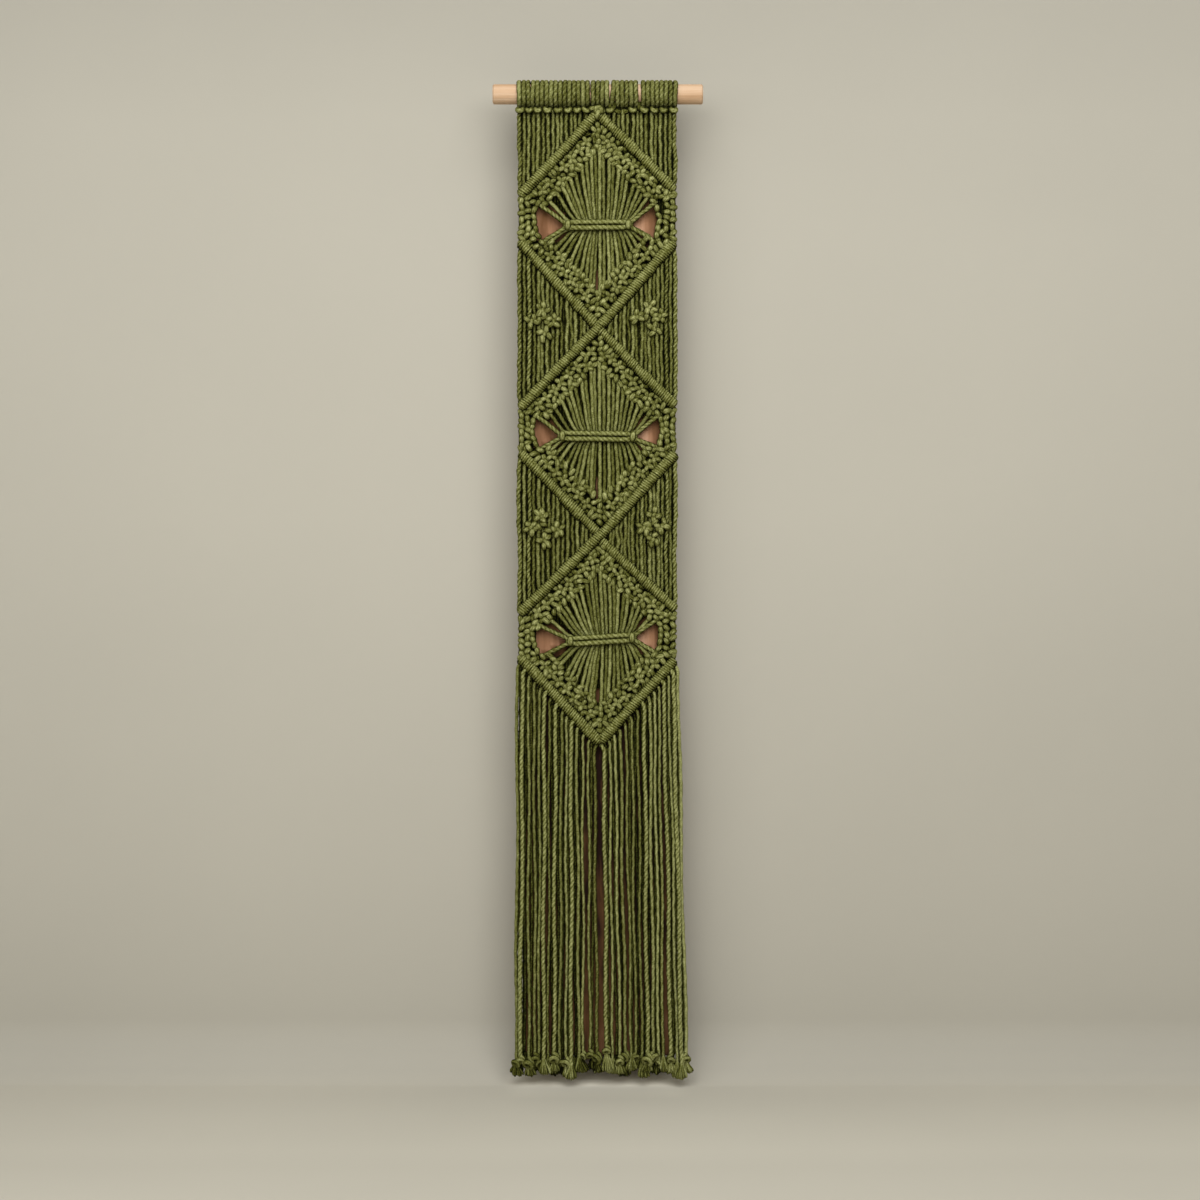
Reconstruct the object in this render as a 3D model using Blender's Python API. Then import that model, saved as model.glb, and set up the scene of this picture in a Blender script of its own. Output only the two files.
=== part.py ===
"""Macrame wall hanging: olive cotton cord knotted into three diamonds on a wooden dowel.

X runs along the dowel, Y goes back to the wall and Z is up. The origin is on the dowel's axis,
at its middle. Sizes and places in this file are millimetres until a mesh is made.
"""

from collections import namedtuple
from math import acos, cos, hypot, pi, radians, sin, tan

import bmesh
import bpy
from mathutils import Matrix, Vector

METRES = 0.001
GAP = 0.3  # left between two pieces that touch

# The dowel
DOWEL_LENGTH = 210.0
DOWEL_RADIUS = 10.0
DOWEL_SIDES = 24
DOWEL_EASED_EDGE = 1.2

# The cord, and the body that it is knotted into
CORD_RADIUS = 2.15
CORD_DEPTH = -4.0  # middle of the plain cords, in front of the dowel's axis
CORD_UNEVEN = 0.35  # how far one plain cord lies nearer or further than the next
CORD_TUCK = 2.0  # how far the outermost cords run past a corner, inside the bar's end
BODY_LEFT = -80.6
BODY_RIGHT = 79.4
CORD_COUNT = 34

# The heading: cord wound over the dowel, and the row of knots under it
WRAP_RADIUS = 14.0
WRAP_GROOVE = 1.1
WRAP_SIDES = 8
HEADING_KNOTS = 17
HEADING_KNOT_HALF_HEIGHT = 4.0
HEADING_KNOT_HALF_DEPTH = 5.2
HEADING_KNOT_DEPTH = -7.0
HEADING_KNOT_DROP = -15.8

# Hitched bars
BAR_RADIUS = 4.7
BAR_GROOVE = 0.9
BAR_RIDGE = 17.0  # length of bar to one ridge of the solid
BAR_DEPTH = -5.0
BAR_END_INSET = 1.5  # a bar's end lies this far inside the body's edge, on the outermost cord

# Bands of square knots along the bars, and the columns that join them at the sides
BAND_OFFSET = 14.0  # from a bar's axis to the middle of its band
BAND_HALF_WIDTH = 9.0
BAND_HALF_DEPTH = 4.3
BAND_DEPTH = -4.8
BAND_GROOVE = 2.2
BAND_CORNER_REACH = 1.5  # how much further a band reaches at its corners, into the bars
BAND_MITRE_GAP = 2.5
BAND_KNOT = 12.0  # length of band to one row of knots
COLUMN_INSET = 5.5  # from a diamond's corner to the column's middle

# Fans: cords drawn together by a tie across each diamond
FAN_CORDS = 14
FAN_HALF_WIDTH = 29.0
FAN_SPREAD = 1.78  # how much wider a fan is at its knots than at its tie
FAN_ROOT = 30.0  # how far below or above a bar's axis the fan's cords end
TIE_RADIUS = 3.0
TIE_DEPTH = -5.6
TIE_CORD_SPACING = 5.4
TIE_GROOVE = 0.25
KNOT_FLATNESS = 0.8
TIE_KNOT_RADIUS = 5.2

# Plain cords in the triangles beside each crossing, and their four-knot lozenges
SIDE_CORDS = 14
SIDE_CORD_INSET = 2.4  # from the body's edge to the outermost of them
SIDE_CORD_CLEAR = 8.0  # from a crossing to the innermost of them
LOZENGE_KNOT = 5.5  # half the width of one of its knots
LOZENGE_HALF_WIDTH = 16.0
LOZENGE_HALF_HEIGHT = 17.0

# The fringe and the strip that its cords grow from
ROOT_HALF_HEIGHT = 1.5
ROOT_HALF_DEPTH = 2.0
ROOT_DEPTH = -4.6
ROOT_MIDDLE = 1.8  # where the two sides of the V meet
ROOT_SHARE = 0.3  # share of a cord's forward hang that it already has at the strip
FRINGE_KNOT_RADIUS = 3.7
FRINGE_KNOT_HALF_HEIGHT = 1.8
FRINGE_KNOT_NECK = 2.5
FRINGE_TIP_RADIUS = 3.2
FRINGE_WAVE = 0.9
FRINGE_STATIONS = (0.08, 0.35, 0.7)  # shares of a cord's length where it may bend

# The backing cloth
CLOTH_THICKNESS = 2.0
CLOTH_LEFT = -75.0
CLOTH_RIGHT = 74.0
CLOTH_BOTTOM = -962.0
CLOTH_RIPPLE = 0.8
CLOTH_ROWS = 12
CLOTH_COLUMNS = 6

# Every bar runs from its end near the middle line out to its corner.
Bar = namedtuple("Bar", "name middle_x middle_z corner_x corner_z")
BARS = (
    Bar("first_upper_left", -2.3, -22.2, -75.4, -100.6),
    Bar("first_upper_right", 3.2, -23.1, 75.0, -95.0),
    Bar("first_lower_left", -3.0, -230.8, -74.1, -152.8),
    Bar("first_lower_right", 2.9, -231.1, 72.6, -152.8),
    Bar("second_upper_left", 2.9, -231.1, -77.5, -314.0),
    Bar("second_upper_right", 4.1, -238.8, 77.5, -312.7),
    Bar("second_lower_left", -2.4, -436.3, -77.5, -358.7),
    Bar("second_lower_right", 5.0, -438.8, 78.1, -358.6),
    Bar("third_upper_left", 5.0, -438.8, -78.7, -520.0),
    Bar("third_upper_right", 5.0, -447.9, 80.5, -518.3),
    Bar("third_lower_left", 0.1, -646.0, -74.6, -566.4),
    Bar("third_lower_right", 4.2, -645.1, 77.2, -564.8),
)
BAR = {bar.name: bar for bar in BARS}

# The tie across each diamond, from its left knot to its right one
Tie = namedtuple("Tie", "diamond left_x left_z right_x right_z")
TIES = (
    Tie("first", -29.9, -132.1, 30.4, -131.4),
    Tie("second", -35.4, -342.1, 34.8, -342.7),
    Tie("third", -27.3, -546.5, 34.0, -543.2),
)

# The middles of the four-knot lozenges
Lozenge = namedtuple("Lozenge", "x z")
LOZENGES = (
    Lozenge(-54.8, -228.6),
    Lozenge(51.0, -225.0),
    Lozenge(-54.2, -434.4),
    Lozenge(55.2, -433.0),
)

# One row for each cord of the fringe: where it leaves the last bars, where it ends, how far
# forward of the root strip it hangs, and the heights of the knot near its end and of its tip.
# Neighbours hang nearer and further by turns, so that they stand apart.
FringeCord = namedtuple("FringeCord", "top_x end_x forward knot_z end_z")
FRINGE = (
    FringeCord(-80.0, -81.6, 0.0, -967.0, -975.0),
    FringeCord(-74.4, -76.2, 3.4, -963.0, -974.0),
    FringeCord(-69.2, -71.4, 0.2, -969.0, -979.0),
    FringeCord(-63.6, -66.2, 3.2, -958.0, -968.0),
    FringeCord(-58.0, -60.4, 0.0, -967.0, -978.0),
    FringeCord(-53.4, -54.6, 3.5, -955.0, -965.0),
    FringeCord(-48.2, -48.6, 0.0, -966.0, -976.0),
    FringeCord(-42.4, -43.0, 3.4, -963.0, -974.0),
    FringeCord(-36.0, -36.4, 0.1, -957.0, -967.0),
    FringeCord(-31.4, -31.4, 3.4, -971.0, -982.0),
    FringeCord(-26.4, -26.6, 0.0, -962.0, -984.0),
    FringeCord(-21.0, -20.8, 3.5, -954.0, -965.0),
    FringeCord(-15.0, -14.6, 0.2, -964.0, -975.0),
    FringeCord(-9.8, -8.0, 3.4, -957.0, -967.0),
    FringeCord(-4.2, -1.6, 0.0, -965.0, -976.0),
    FringeCord(7.4, 9.4, 3.5, -953.0, -981.0),
    FringeCord(12.0, 14.8, 0.0, -964.0, -974.0),
    FringeCord(17.2, 21.2, 3.4, -966.0, -977.0),
    FringeCord(22.4, 27.0, 0.1, -961.0, -971.0),
    FringeCord(28.0, 32.4, 3.3, -967.0, -976.0),
    FringeCord(33.8, 38.0, 0.0, -956.0, -967.0),
    FringeCord(40.0, 44.0, 3.4, -967.0, -981.0),
    FringeCord(48.0, 50.6, 0.2, -960.0, -970.0),
    FringeCord(54.6, 56.4, 3.4, -956.0, -967.0),
    FringeCord(60.2, 62.4, 0.0, -967.0, -976.0),
    FringeCord(64.6, 68.0, 3.5, -958.0, -975.0),
    FringeCord(70.2, 74.4, 0.0, -967.0, -980.0),
    FringeCord(75.6, 81.0, 3.3, -969.0, -982.0),
    FringeCord(80.6, 88.2, 0.0, -964.0, -975.0),
)


def clear_scene():
    for old in list(bpy.data.objects):
        bpy.data.objects.remove(old)


def material(name, colour, roughness):
    made = bpy.data.materials.new(name)
    made.use_nodes = True
    shader = made.node_tree.nodes["Principled BSDF"]
    shader.inputs["Base Color"].default_value = (*colour, 1.0)
    shader.inputs["Roughness"].default_value = roughness
    shader.inputs["Metallic"].default_value = 0.0
    return made


def placed(name, bm):
    """An object with this mesh, its faces turned outwards and its sizes in metres."""
    bmesh.ops.recalc_face_normals(bm, faces=bm.faces)
    bmesh.ops.scale(bm, vec=(METRES, METRES, METRES), verts=bm.verts)
    mesh = bpy.data.meshes.new(name)
    bm.to_mesh(mesh)
    bm.free()
    obj = bpy.data.objects.new(name, mesh)
    bpy.context.scene.collection.objects.link(obj)
    return obj


def section(x, y, z, heading, half_width, half_depth, sides, flat_front=False):
    """Corners of a cross-section that stands square to a heading in the XZ plane.

    Its first corner points forwards, or its first side does with flat_front.
    """
    across = Vector((heading[1], 0.0, -heading[0]))
    turn = pi / sides if flat_front else 0.0
    reach = 1 / cos(turn)
    corners = []
    for k in range(sides):
        angle = 2 * pi * k / sides + turn
        forward = Vector((0.0, -half_depth * reach * cos(angle), 0.0))
        sideways = across * half_width * reach * sin(angle)
        corners.append(Vector((x, y, z)) + sideways + forward)
    return corners


def loft(bm, sections, closed=False):
    """Skins a row of cross-sections, and caps it unless its last meets its first."""
    loops = [[bm.verts.new(corner) for corner in corners] for corners in sections]
    pairs = list(zip(loops, loops[1:]))
    if closed:
        pairs.append((loops[-1], loops[0]))
    else:
        bm.faces.new(reversed(loops[0]))
        bm.faces.new(loops[-1])
    for low, high in pairs:
        for k in range(len(low)):
            after = (k + 1) % len(low)
            bm.faces.new((low[k], low[after], high[after], high[k]))


def unit(dx, dz):
    length = hypot(dx, dz)
    return dx / length, dz / length


def member(name, sections):
    bm = bmesh.new()
    loft(bm, sections)
    return placed(name, bm)


def cord(name, points, radius=CORD_RADIUS, sides=3):
    """A cord through points (x, y, z), with a corner of its section to the front."""
    sections = []
    for k, (x, y, z) in enumerate(points):
        before = points[max(k - 1, 0)]
        after = points[min(k + 1, len(points) - 1)]
        heading = unit(after[0] - before[0], after[2] - before[2])
        sections.append(section(x, y, z, heading, radius, radius, sides))
    return member(name, sections)


def ridged(name, start, end, depth, ridge, half_width, half_depth, groove, flat_front=False):
    """A four-sided bar from start to end (x, z) whose section swells once for every ridge."""
    length = hypot(end[0] - start[0], end[1] - start[1])
    heading = unit(end[0] - start[0], end[1] - start[1])
    steps = 2 * max(1, round(length / ridge))
    sections = []
    for k in range(steps + 1):
        x = start[0] + (end[0] - start[0]) * k / steps
        z = start[1] + (end[1] - start[1]) * k / steps
        less = groove if k % 2 == 0 else 0.0
        shape = (half_width - less, half_depth - less, 4, flat_front)
        sections.append(section(x, depth, z, heading, *shape))
    return member(name, sections)


def knot(name, x, y, z, radius):
    """A knot's rounded lump, turned a little so that none of its edges lies along a bar."""
    turned = Matrix.Rotation(radians(17.0), 3, "Y") @ Matrix.Rotation(radians(90.0), 3, "X")
    bm = bmesh.new()
    bmesh.ops.create_icosphere(bm, subdivisions=1, radius=radius)
    bmesh.ops.rotate(bm, verts=bm.verts, cent=(0, 0, 0), matrix=turned)
    bmesh.ops.scale(bm, vec=(1.0, KNOT_FLATNESS, 1.0), verts=bm.verts)
    bmesh.ops.translate(bm, vec=(x, y, z), verts=bm.verts)
    return placed(name, bm)


def united(name, members):
    """Fuses the members into the first of them, which takes the name."""
    base, others = members[0], members[1:]
    group = bpy.data.collections.new(name + "_members")
    for other in others:
        group.objects.link(other)
    joined = base.modifiers.new("fused", "BOOLEAN")
    joined.operation = "UNION"
    joined.solver = "EXACT"
    joined.operand_type = "COLLECTION"
    joined.collection = group
    graph = bpy.context.evaluated_depsgraph_get()
    fused = bpy.data.meshes.new_from_object(base.evaluated_get(graph))
    base.modifiers.clear()
    base.data = fused
    base.name = name
    fused.name = name
    for other in others:
        bpy.data.objects.remove(other)
    bpy.data.collections.remove(group)
    return base


def finished(obj, surface, smooth_angle):
    obj.data.materials.clear()
    obj.data.materials.append(surface)
    obj.data.shade_smooth()
    obj.data.set_sharp_from_angle(angle=radians(smooth_angle))


def make_dowel():
    """A round rod with eased ends."""
    half = DOWEL_LENGTH / 2
    inner = DOWEL_RADIUS - DOWEL_EASED_EDGE
    outline = (
        (-half, inner),
        (-half + DOWEL_EASED_EDGE, DOWEL_RADIUS),
        (half - DOWEL_EASED_EDGE, DOWEL_RADIUS),
        (half, inner),
    )
    bm = bmesh.new()
    loft(bm, [around_dowel(x, radius, DOWEL_SIDES) for x, radius in outline])
    return placed("dowel", bm)


def around_dowel(x, radius, sides):
    """Corners round the dowel's axis, the first of them at the top."""
    angles = [2 * pi * k / sides for k in range(sides)]
    return [Vector((x, radius * sin(a), radius * cos(a))) for a in angles]


def make_wraps():
    """The sleeve of cord wound over the dowel, one ridge for each turn."""
    pitch = (BODY_RIGHT - BODY_LEFT) / CORD_COUNT
    inner = (DOWEL_RADIUS + GAP) / cos(pi / WRAP_SIDES)
    outline = [(BODY_LEFT, inner), (BODY_LEFT, WRAP_RADIUS - WRAP_GROOVE)]
    for turn in range(CORD_COUNT):
        left = BODY_LEFT + pitch * turn
        outline.append((left + pitch * 0.5, WRAP_RADIUS))
        outline.append((left + pitch, WRAP_RADIUS - WRAP_GROOVE))
    outline.append((BODY_RIGHT, inner))
    bm = bmesh.new()
    loft(bm, [around_dowel(x, radius, WRAP_SIDES) for x, radius in outline], closed=True)
    return placed("wraps", bm)


def bar_height(bar, x):
    """Height of a bar's axis above this place along the dowel."""
    share = (x - bar.middle_x) / (bar.corner_x - bar.middle_x)
    return bar.middle_z + (bar.corner_z - bar.middle_z) * share


def side_name(x):
    return "left" if x < 0 else "right"


def make_heading():
    pitch = (BODY_RIGHT - BODY_LEFT) / HEADING_KNOTS
    start = (BODY_LEFT + GAP, HEADING_KNOT_DROP)
    end = (BODY_RIGHT - GAP, HEADING_KNOT_DROP)
    size = (HEADING_KNOT_HALF_HEIGHT, HEADING_KNOT_HALF_DEPTH, BAR_GROOVE)
    row = ridged("heading_knots", start, end, HEADING_KNOT_DEPTH, pitch, *size, flat_front=True)
    cords = []
    pitch = (BODY_RIGHT - BODY_LEFT) / CORD_COUNT
    for k in range(CORD_COUNT):
        x = BODY_LEFT + pitch * (k + 0.5)
        bar = BAR["first_upper_" + side_name(x)]
        foot = max(bar_height(bar, x), bar.corner_z - CORD_TUCK)
        y = CORD_DEPTH + CORD_UNEVEN * (k % 3 - 1)
        cords.append(cord(f"heading_cord_{k}", [(x, y, HEADING_KNOT_DROP), (x, y, foot)]))
    return [row, *cords]


def bar_end_x(bar):
    """A bar reaches its own corner, or the outermost cord where that lies further out."""
    if bar.corner_x < 0:
        return min(bar.corner_x, BODY_LEFT + BAR_END_INSET)
    return max(bar.corner_x, BODY_RIGHT - BAR_END_INSET)


def make_bars():
    bars = []
    for bar in BARS:
        start = (bar.middle_x, bar.middle_z)
        end = (bar_end_x(bar), bar_height(bar, bar_end_x(bar)))
        size = (BAR_RADIUS, BAR_RADIUS)
        bars.append(ridged(bar.name, start, end, BAR_DEPTH, BAR_RIDGE, *size, BAR_GROOVE))
    return bars


def offset_line(bar, inward):
    """The line beside a bar that runs down the middle of its band, as a point and a heading."""
    along = unit(bar.corner_x - bar.middle_x, bar.corner_z - bar.middle_z)
    square = (-along[1], along[0])
    if (square[1] > 0) != (inward > 0):
        square = (along[1], -along[0])
    x = bar.middle_x + square[0] * BAND_OFFSET
    z = bar.middle_z + square[1] * BAND_OFFSET
    return (x, z), along


def crossing(first, second):
    """Where two lines meet, each given as a point and a heading."""
    (ax, az), (au, aw) = first
    (bx, bz), (bu, bw) = second
    share = ((bx - ax) * bw - (bz - az) * bu) / (au * bw - aw * bu)
    return ax + au * share, az + aw * share


def corner_turn(before, corner, after):
    """Half the angle that a line turns through at a corner."""
    first = unit(corner[0] - before[0], corner[1] - before[1])
    second = unit(after[0] - corner[0], after[1] - corner[1])
    return acos(first[0] * second[0] + first[1] * second[1]) / 2


def mitre_margin(before, corner, after):
    """How near a corner a square section can stand without crossing the mitred one."""
    return BAND_HALF_WIDTH * tan(corner_turn(before, corner, after)) + BAND_MITRE_GAP


def mitred(before, corner, after):
    """A grooved section on a corner's mitre, as wide as the band needs there."""
    first = unit(corner[0] - before[0], corner[1] - before[1])
    second = unit(after[0] - corner[0], after[1] - corner[1])
    mitre = unit(first[0] + second[0], first[1] + second[1])
    half_width = (BAND_HALF_WIDTH + BAND_CORNER_REACH) / cos(corner_turn(before, corner, after))
    size = (half_width, BAND_HALF_DEPTH, 4, True)
    return section(corner[0], BAND_DEPTH, corner[1], mitre, *size)


def make_wreath(diamond):
    """The closed band of knots inside a diamond: along its four bars and up both sides."""
    upright = {}
    for side, inward in (("left", 1), ("right", -1)):
        upper = BAR[f"{diamond}_upper_{side}"]
        lower = BAR[f"{diamond}_lower_{side}"]
        x = (upper.corner_x + lower.corner_x) / 2 + inward * COLUMN_INSET
        upright[side] = ((x, upper.corner_z), (0.0, -1.0))
    upper_left = offset_line(BAR[f"{diamond}_upper_left"], -1)
    upper_right = offset_line(BAR[f"{diamond}_upper_right"], -1)
    lower_left = offset_line(BAR[f"{diamond}_lower_left"], 1)
    lower_right = offset_line(BAR[f"{diamond}_lower_right"], 1)
    lines = (upper_right, upright["right"], lower_right, lower_left, upright["left"], upper_left)
    corners = [crossing(lines[k - 1], lines[k]) for k in range(len(lines))]
    sections = []
    for k, start in enumerate(corners):
        end = corners[(k + 1) % len(corners)]
        after_end = corners[(k + 2) % len(corners)]
        along = unit(end[0] - start[0], end[1] - start[1])
        sections.append(mitred(corners[k - 1], start, end))
        near = mitre_margin(corners[k - 1], start, end)
        far = mitre_margin(start, end, after_end)
        length = hypot(end[0] - start[0], end[1] - start[1]) - near - far
        steps = 2 * round(length / BAND_KNOT)
        if steps < 1:
            continue
        for j in range(steps + 1):
            way = near + length * j / steps
            less = BAND_GROOVE if j % 2 == 0 else 0.0
            size = (BAND_HALF_WIDTH - less / 2, BAND_HALF_DEPTH - less, 4, True)
            place = (start[0] + along[0] * way, BAND_DEPTH, start[1] + along[1] * way)
            sections.append(section(*place, along, *size))
    bm = bmesh.new()
    loft(bm, sections, closed=True)
    return placed(f"{diamond}_wreath", bm)


def make_fan(tie):
    """The cords of one diamond, drawn in to its tie, with the tie and its two knots."""
    members = []
    middle = (tie.left_x + tie.right_x) / 2
    rise = (tie.right_z - tie.left_z) / (tie.right_x - tie.left_x)
    for k in range(FAN_CORDS):
        from_middle = FAN_HALF_WIDTH * (2 * k / (FAN_CORDS - 1) - 1)
        tie_x = middle + from_middle
        tie_z = tie.left_z + (tie_x - tie.left_x) * rise
        root_x = middle + from_middle * FAN_SPREAD
        y = CORD_DEPTH + CORD_UNEVEN * (k % 2)
        for half, way in (("upper", 1), ("lower", -1)):
            bar = BAR[f"{tie.diamond}_{half}_{side_name(from_middle)}"]
            root_z = bar_height(bar, root_x) - way * FAN_ROOT
            near = tie_z + way * (TIE_CORD_SPACING / 2 - GAP)
            points = [(root_x, y, root_z), (tie_x, y, near)]
            members.append(cord(f"{tie.diamond}_fan_{half}_{k}", points))
    for way in (1, -1):
        shift = way * TIE_CORD_SPACING / 2
        start = (tie.left_x, tie.left_z + shift)
        end = (tie.right_x, tie.right_z + shift)
        one_ridge = end[0] - start[0]
        size = (TIE_RADIUS, TIE_RADIUS)
        name = f"{tie.diamond}_tie_{way}"
        members.append(ridged(name, start, end, TIE_DEPTH, one_ridge, *size, TIE_GROOVE))
    for side, x, z in (("left", tie.left_x, tie.left_z), ("right", tie.right_x, tie.right_z)):
        name = f"{tie.diamond}_tie_knot_{side}"
        members.append(knot(name, x, TIE_DEPTH, z, TIE_KNOT_RADIUS))
    return members


def make_side_cords():
    """Plain cords from each diamond's lower bars down to the next diamond's upper bars."""
    cords = []
    for above, below in (("first", "second"), ("second", "third")):
        for side, edge in (("left", BODY_LEFT), ("right", BODY_RIGHT)):
            upper = BAR[f"{above}_lower_{side}"]
            lower = BAR[f"{below}_upper_{side}"]
            outward = 1 if side == "right" else -1
            outer = edge - SIDE_CORD_INSET * outward
            inner = lower.middle_x + SIDE_CORD_CLEAR * outward
            for k in range(SIDE_CORDS):
                x = outer + (inner - outer) * k / (SIDE_CORDS - 1)
                top = min(bar_height(upper, x), upper.corner_z + CORD_TUCK)
                foot = max(bar_height(lower, x), lower.corner_z - CORD_TUCK)
                y = CORD_DEPTH + CORD_UNEVEN * (k % 3 - 1)
                name = f"{above}_side_cord_{side}_{k}"
                cords.append(cord(name, [(x, y, top), (x, y, foot)]))
    return cords


def make_lozenges():
    """Four knots each: one at the top, one at either side and one at the bottom."""
    tip = (LOZENGE_KNOT * 0.6, BAND_HALF_DEPTH * 0.6)
    single = (LOZENGE_KNOT, BAND_HALF_DEPTH)
    waist = (LOZENGE_HALF_WIDTH * 0.6, BAND_HALF_DEPTH * 0.75)
    double = (LOZENGE_HALF_WIDTH, BAND_HALF_DEPTH)
    ups = (1.0, 0.7, 0.35, 0.0, -0.35, -0.7, -1.0)
    shapes = (tip, single, waist, double, waist, single, tip)
    lozenges = []
    for k, place in enumerate(LOZENGES):
        sections = []
        for up, shape in zip(ups, shapes):
            z = place.z + up * LOZENGE_HALF_HEIGHT
            sections.append(section(place.x, BAND_DEPTH, z, (0, -1), *shape, 4, True))
        lozenges.append(member(f"lozenge_{k}", sections))
    return lozenges


def make_knotted_panel():
    members = [make_wraps(), *make_heading(), *make_bars()]
    for tie in TIES:
        members.append(make_wreath(tie.diamond))
        members += make_fan(tie)
    members += make_side_cords()
    members += make_lozenges()
    return united("knotted_panel", members)


def root_height(x):
    """Height of the fringe's root strip, which follows the underside of the last bars."""
    bar = BAR["third_lower_" + side_name(x)]
    along = unit(bar.corner_x - bar.middle_x, bar.corner_z - bar.middle_z)
    below = (BAR_RADIUS + GAP + ROOT_HALF_HEIGHT) / abs(along[0])
    return bar_height(bar, x) - below


def make_fringe():
    """A V-shaped strip just under the last bars, and the cords that hang from it."""
    corners = (FRINGE[0].top_x, ROOT_MIDDLE, FRINGE[-1].top_x)
    strip = [(x, ROOT_DEPTH, root_height(x)) for x in corners]
    sections = []
    for k, (x, y, z) in enumerate(strip):
        before = strip[max(k - 1, 0)]
        after = strip[min(k + 1, len(strip) - 1)]
        heading = unit(after[0] - before[0], after[2] - before[2])
        sections.append(section(x, y, z, heading, ROOT_HALF_HEIGHT, ROOT_HALF_DEPTH, 4))
    members = [member("root_strip", sections)]
    for k, row in enumerate(FRINGE):
        members.append(fringe_cord(f"fringe_cord_{k}", row, wave=FRINGE_WAVE * (-1) ** k))
    return united("fringe", members)


def fringe_cord(name, row, wave):
    """One hanging cord with a soft wave, a knot near its end and a splayed tip."""
    top = root_height(row.top_x)
    y = ROOT_DEPTH - row.forward
    high = row.knot_z + FRINGE_KNOT_HALF_HEIGHT
    low = row.knot_z - FRINGE_KNOT_HALF_HEIGHT
    stations = [(row.top_x, ROOT_DEPTH - row.forward * ROOT_SHARE, top, CORD_RADIUS)]
    for share in FRINGE_STATIONS:
        x = row.top_x + (row.end_x - row.top_x) * share + wave * sin(2 * pi * share)
        stations.append((x, y, top + (row.knot_z - top) * share, CORD_RADIUS))
    stations.append((row.end_x, y, high + FRINGE_KNOT_NECK, CORD_RADIUS))
    stations.append((row.end_x, y, high, FRINGE_KNOT_RADIUS))
    stations.append((row.end_x, y, low, FRINGE_KNOT_RADIUS))
    stations.append((row.end_x, y, low - FRINGE_KNOT_NECK, CORD_RADIUS))
    stations.append((row.end_x, y, row.end_z, FRINGE_TIP_RADIUS))
    return member(name, [section(x, y, z, (0, 1), r, r, 4) for x, y, z, r in stations])


def make_backing_cloth():
    """A thin sheet behind the knotting, with a few soft upright ripples."""
    front = BAR_DEPTH + BAR_RADIUS + GAP
    top = -WRAP_RADIUS - GAP
    sheets = []
    for j in range(CLOTH_ROWS + 1):
        down = j / CLOTH_ROWS
        z = top + (CLOTH_BOTTOM - top) * down
        row_front = []
        row_back = []
        for k in range(CLOTH_COLUMNS + 1):
            along = k / CLOTH_COLUMNS
            x = CLOTH_LEFT + (CLOTH_RIGHT - CLOTH_LEFT) * along
            y = front + CLOTH_RIPPLE * down * sin(2 * pi * along) ** 2
            row_front.append(Vector((x, y, z)))
            row_back.append(Vector((x, y + CLOTH_THICKNESS, z)))
        sheets.append(row_front + row_back[::-1])
    bm = bmesh.new()
    loft(bm, sheets)
    return placed("backing_cloth", bm)


def main():
    clear_scene()
    cotton = material("olive_cotton", (0.137, 0.204, 0.047), 0.9)
    wood = material("pale_wood", (0.73, 0.52, 0.33), 0.6)
    cloth = material("brown_cloth", (0.28, 0.14, 0.08), 0.95)
    finished(make_dowel(), wood, 30)
    finished(make_knotted_panel(), cotton, 12)
    finished(make_fringe(), cotton, 40)
    finished(make_backing_cloth(), cloth, 40)


main()
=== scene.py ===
import random
from math import atan2, copysign, cos, hypot, pi, radians, sin, sqrt

import bpy
import numpy as np
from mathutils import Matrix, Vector


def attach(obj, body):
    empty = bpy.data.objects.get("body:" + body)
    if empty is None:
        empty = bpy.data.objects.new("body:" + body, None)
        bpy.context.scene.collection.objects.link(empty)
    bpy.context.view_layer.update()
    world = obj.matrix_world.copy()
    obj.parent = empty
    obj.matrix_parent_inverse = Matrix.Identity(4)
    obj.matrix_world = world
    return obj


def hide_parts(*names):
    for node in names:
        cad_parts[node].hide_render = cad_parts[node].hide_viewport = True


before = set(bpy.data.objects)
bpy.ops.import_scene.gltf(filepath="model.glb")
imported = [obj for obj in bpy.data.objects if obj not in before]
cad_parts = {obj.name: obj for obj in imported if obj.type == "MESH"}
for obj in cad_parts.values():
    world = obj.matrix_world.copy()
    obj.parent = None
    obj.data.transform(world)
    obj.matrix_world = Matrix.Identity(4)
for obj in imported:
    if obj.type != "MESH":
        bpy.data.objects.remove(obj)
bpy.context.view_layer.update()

mm = 0.001
dice = random.Random(41)

# Every size below is in millimetres: x to the viewer's right, y back to the wall, z up.

layout = {
    "cordRadius": 2.15,
    "bodyLeft": -80.6,
    "bodyRight": 79.4,
    "barRadius": 5.6,
    "barDepth": -5.0,
}
flanks = {"Left": (layout["bodyLeft"], -1), "Right": (layout["bodyRight"], 1)}  # edge, and the way out

# Each hitched bar runs from its end near the middle line out to its corner (x, z, x, z).
bars = {
    "first": {
        "upperLeft": (-2.3, -22.2, -75.4, -100.6),
        "upperRight": (3.2, -23.1, 75.0, -95.0),
        "lowerLeft": (-3.0, -230.8, -74.1, -152.8),
        "lowerRight": (2.9, -231.1, 72.6, -152.8),
    },
    "second": {
        "upperLeft": (2.9, -231.1, -77.5, -314.0),
        "upperRight": (4.1, -238.8, 77.5, -312.7),
        "lowerLeft": (-2.4, -436.3, -77.5, -358.7),
        "lowerRight": (5.0, -438.8, 78.1, -358.6),
    },
    "third": {
        "upperLeft": (5.0, -438.8, -78.7, -520.0),
        "upperRight": (5.0, -447.9, 78.0, -516.0),
        "lowerLeft": (0.1, -646.0, -74.6, -566.4),
        "lowerRight": (4.2, -645.1, 77.2, -564.8),
    },
}

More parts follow.
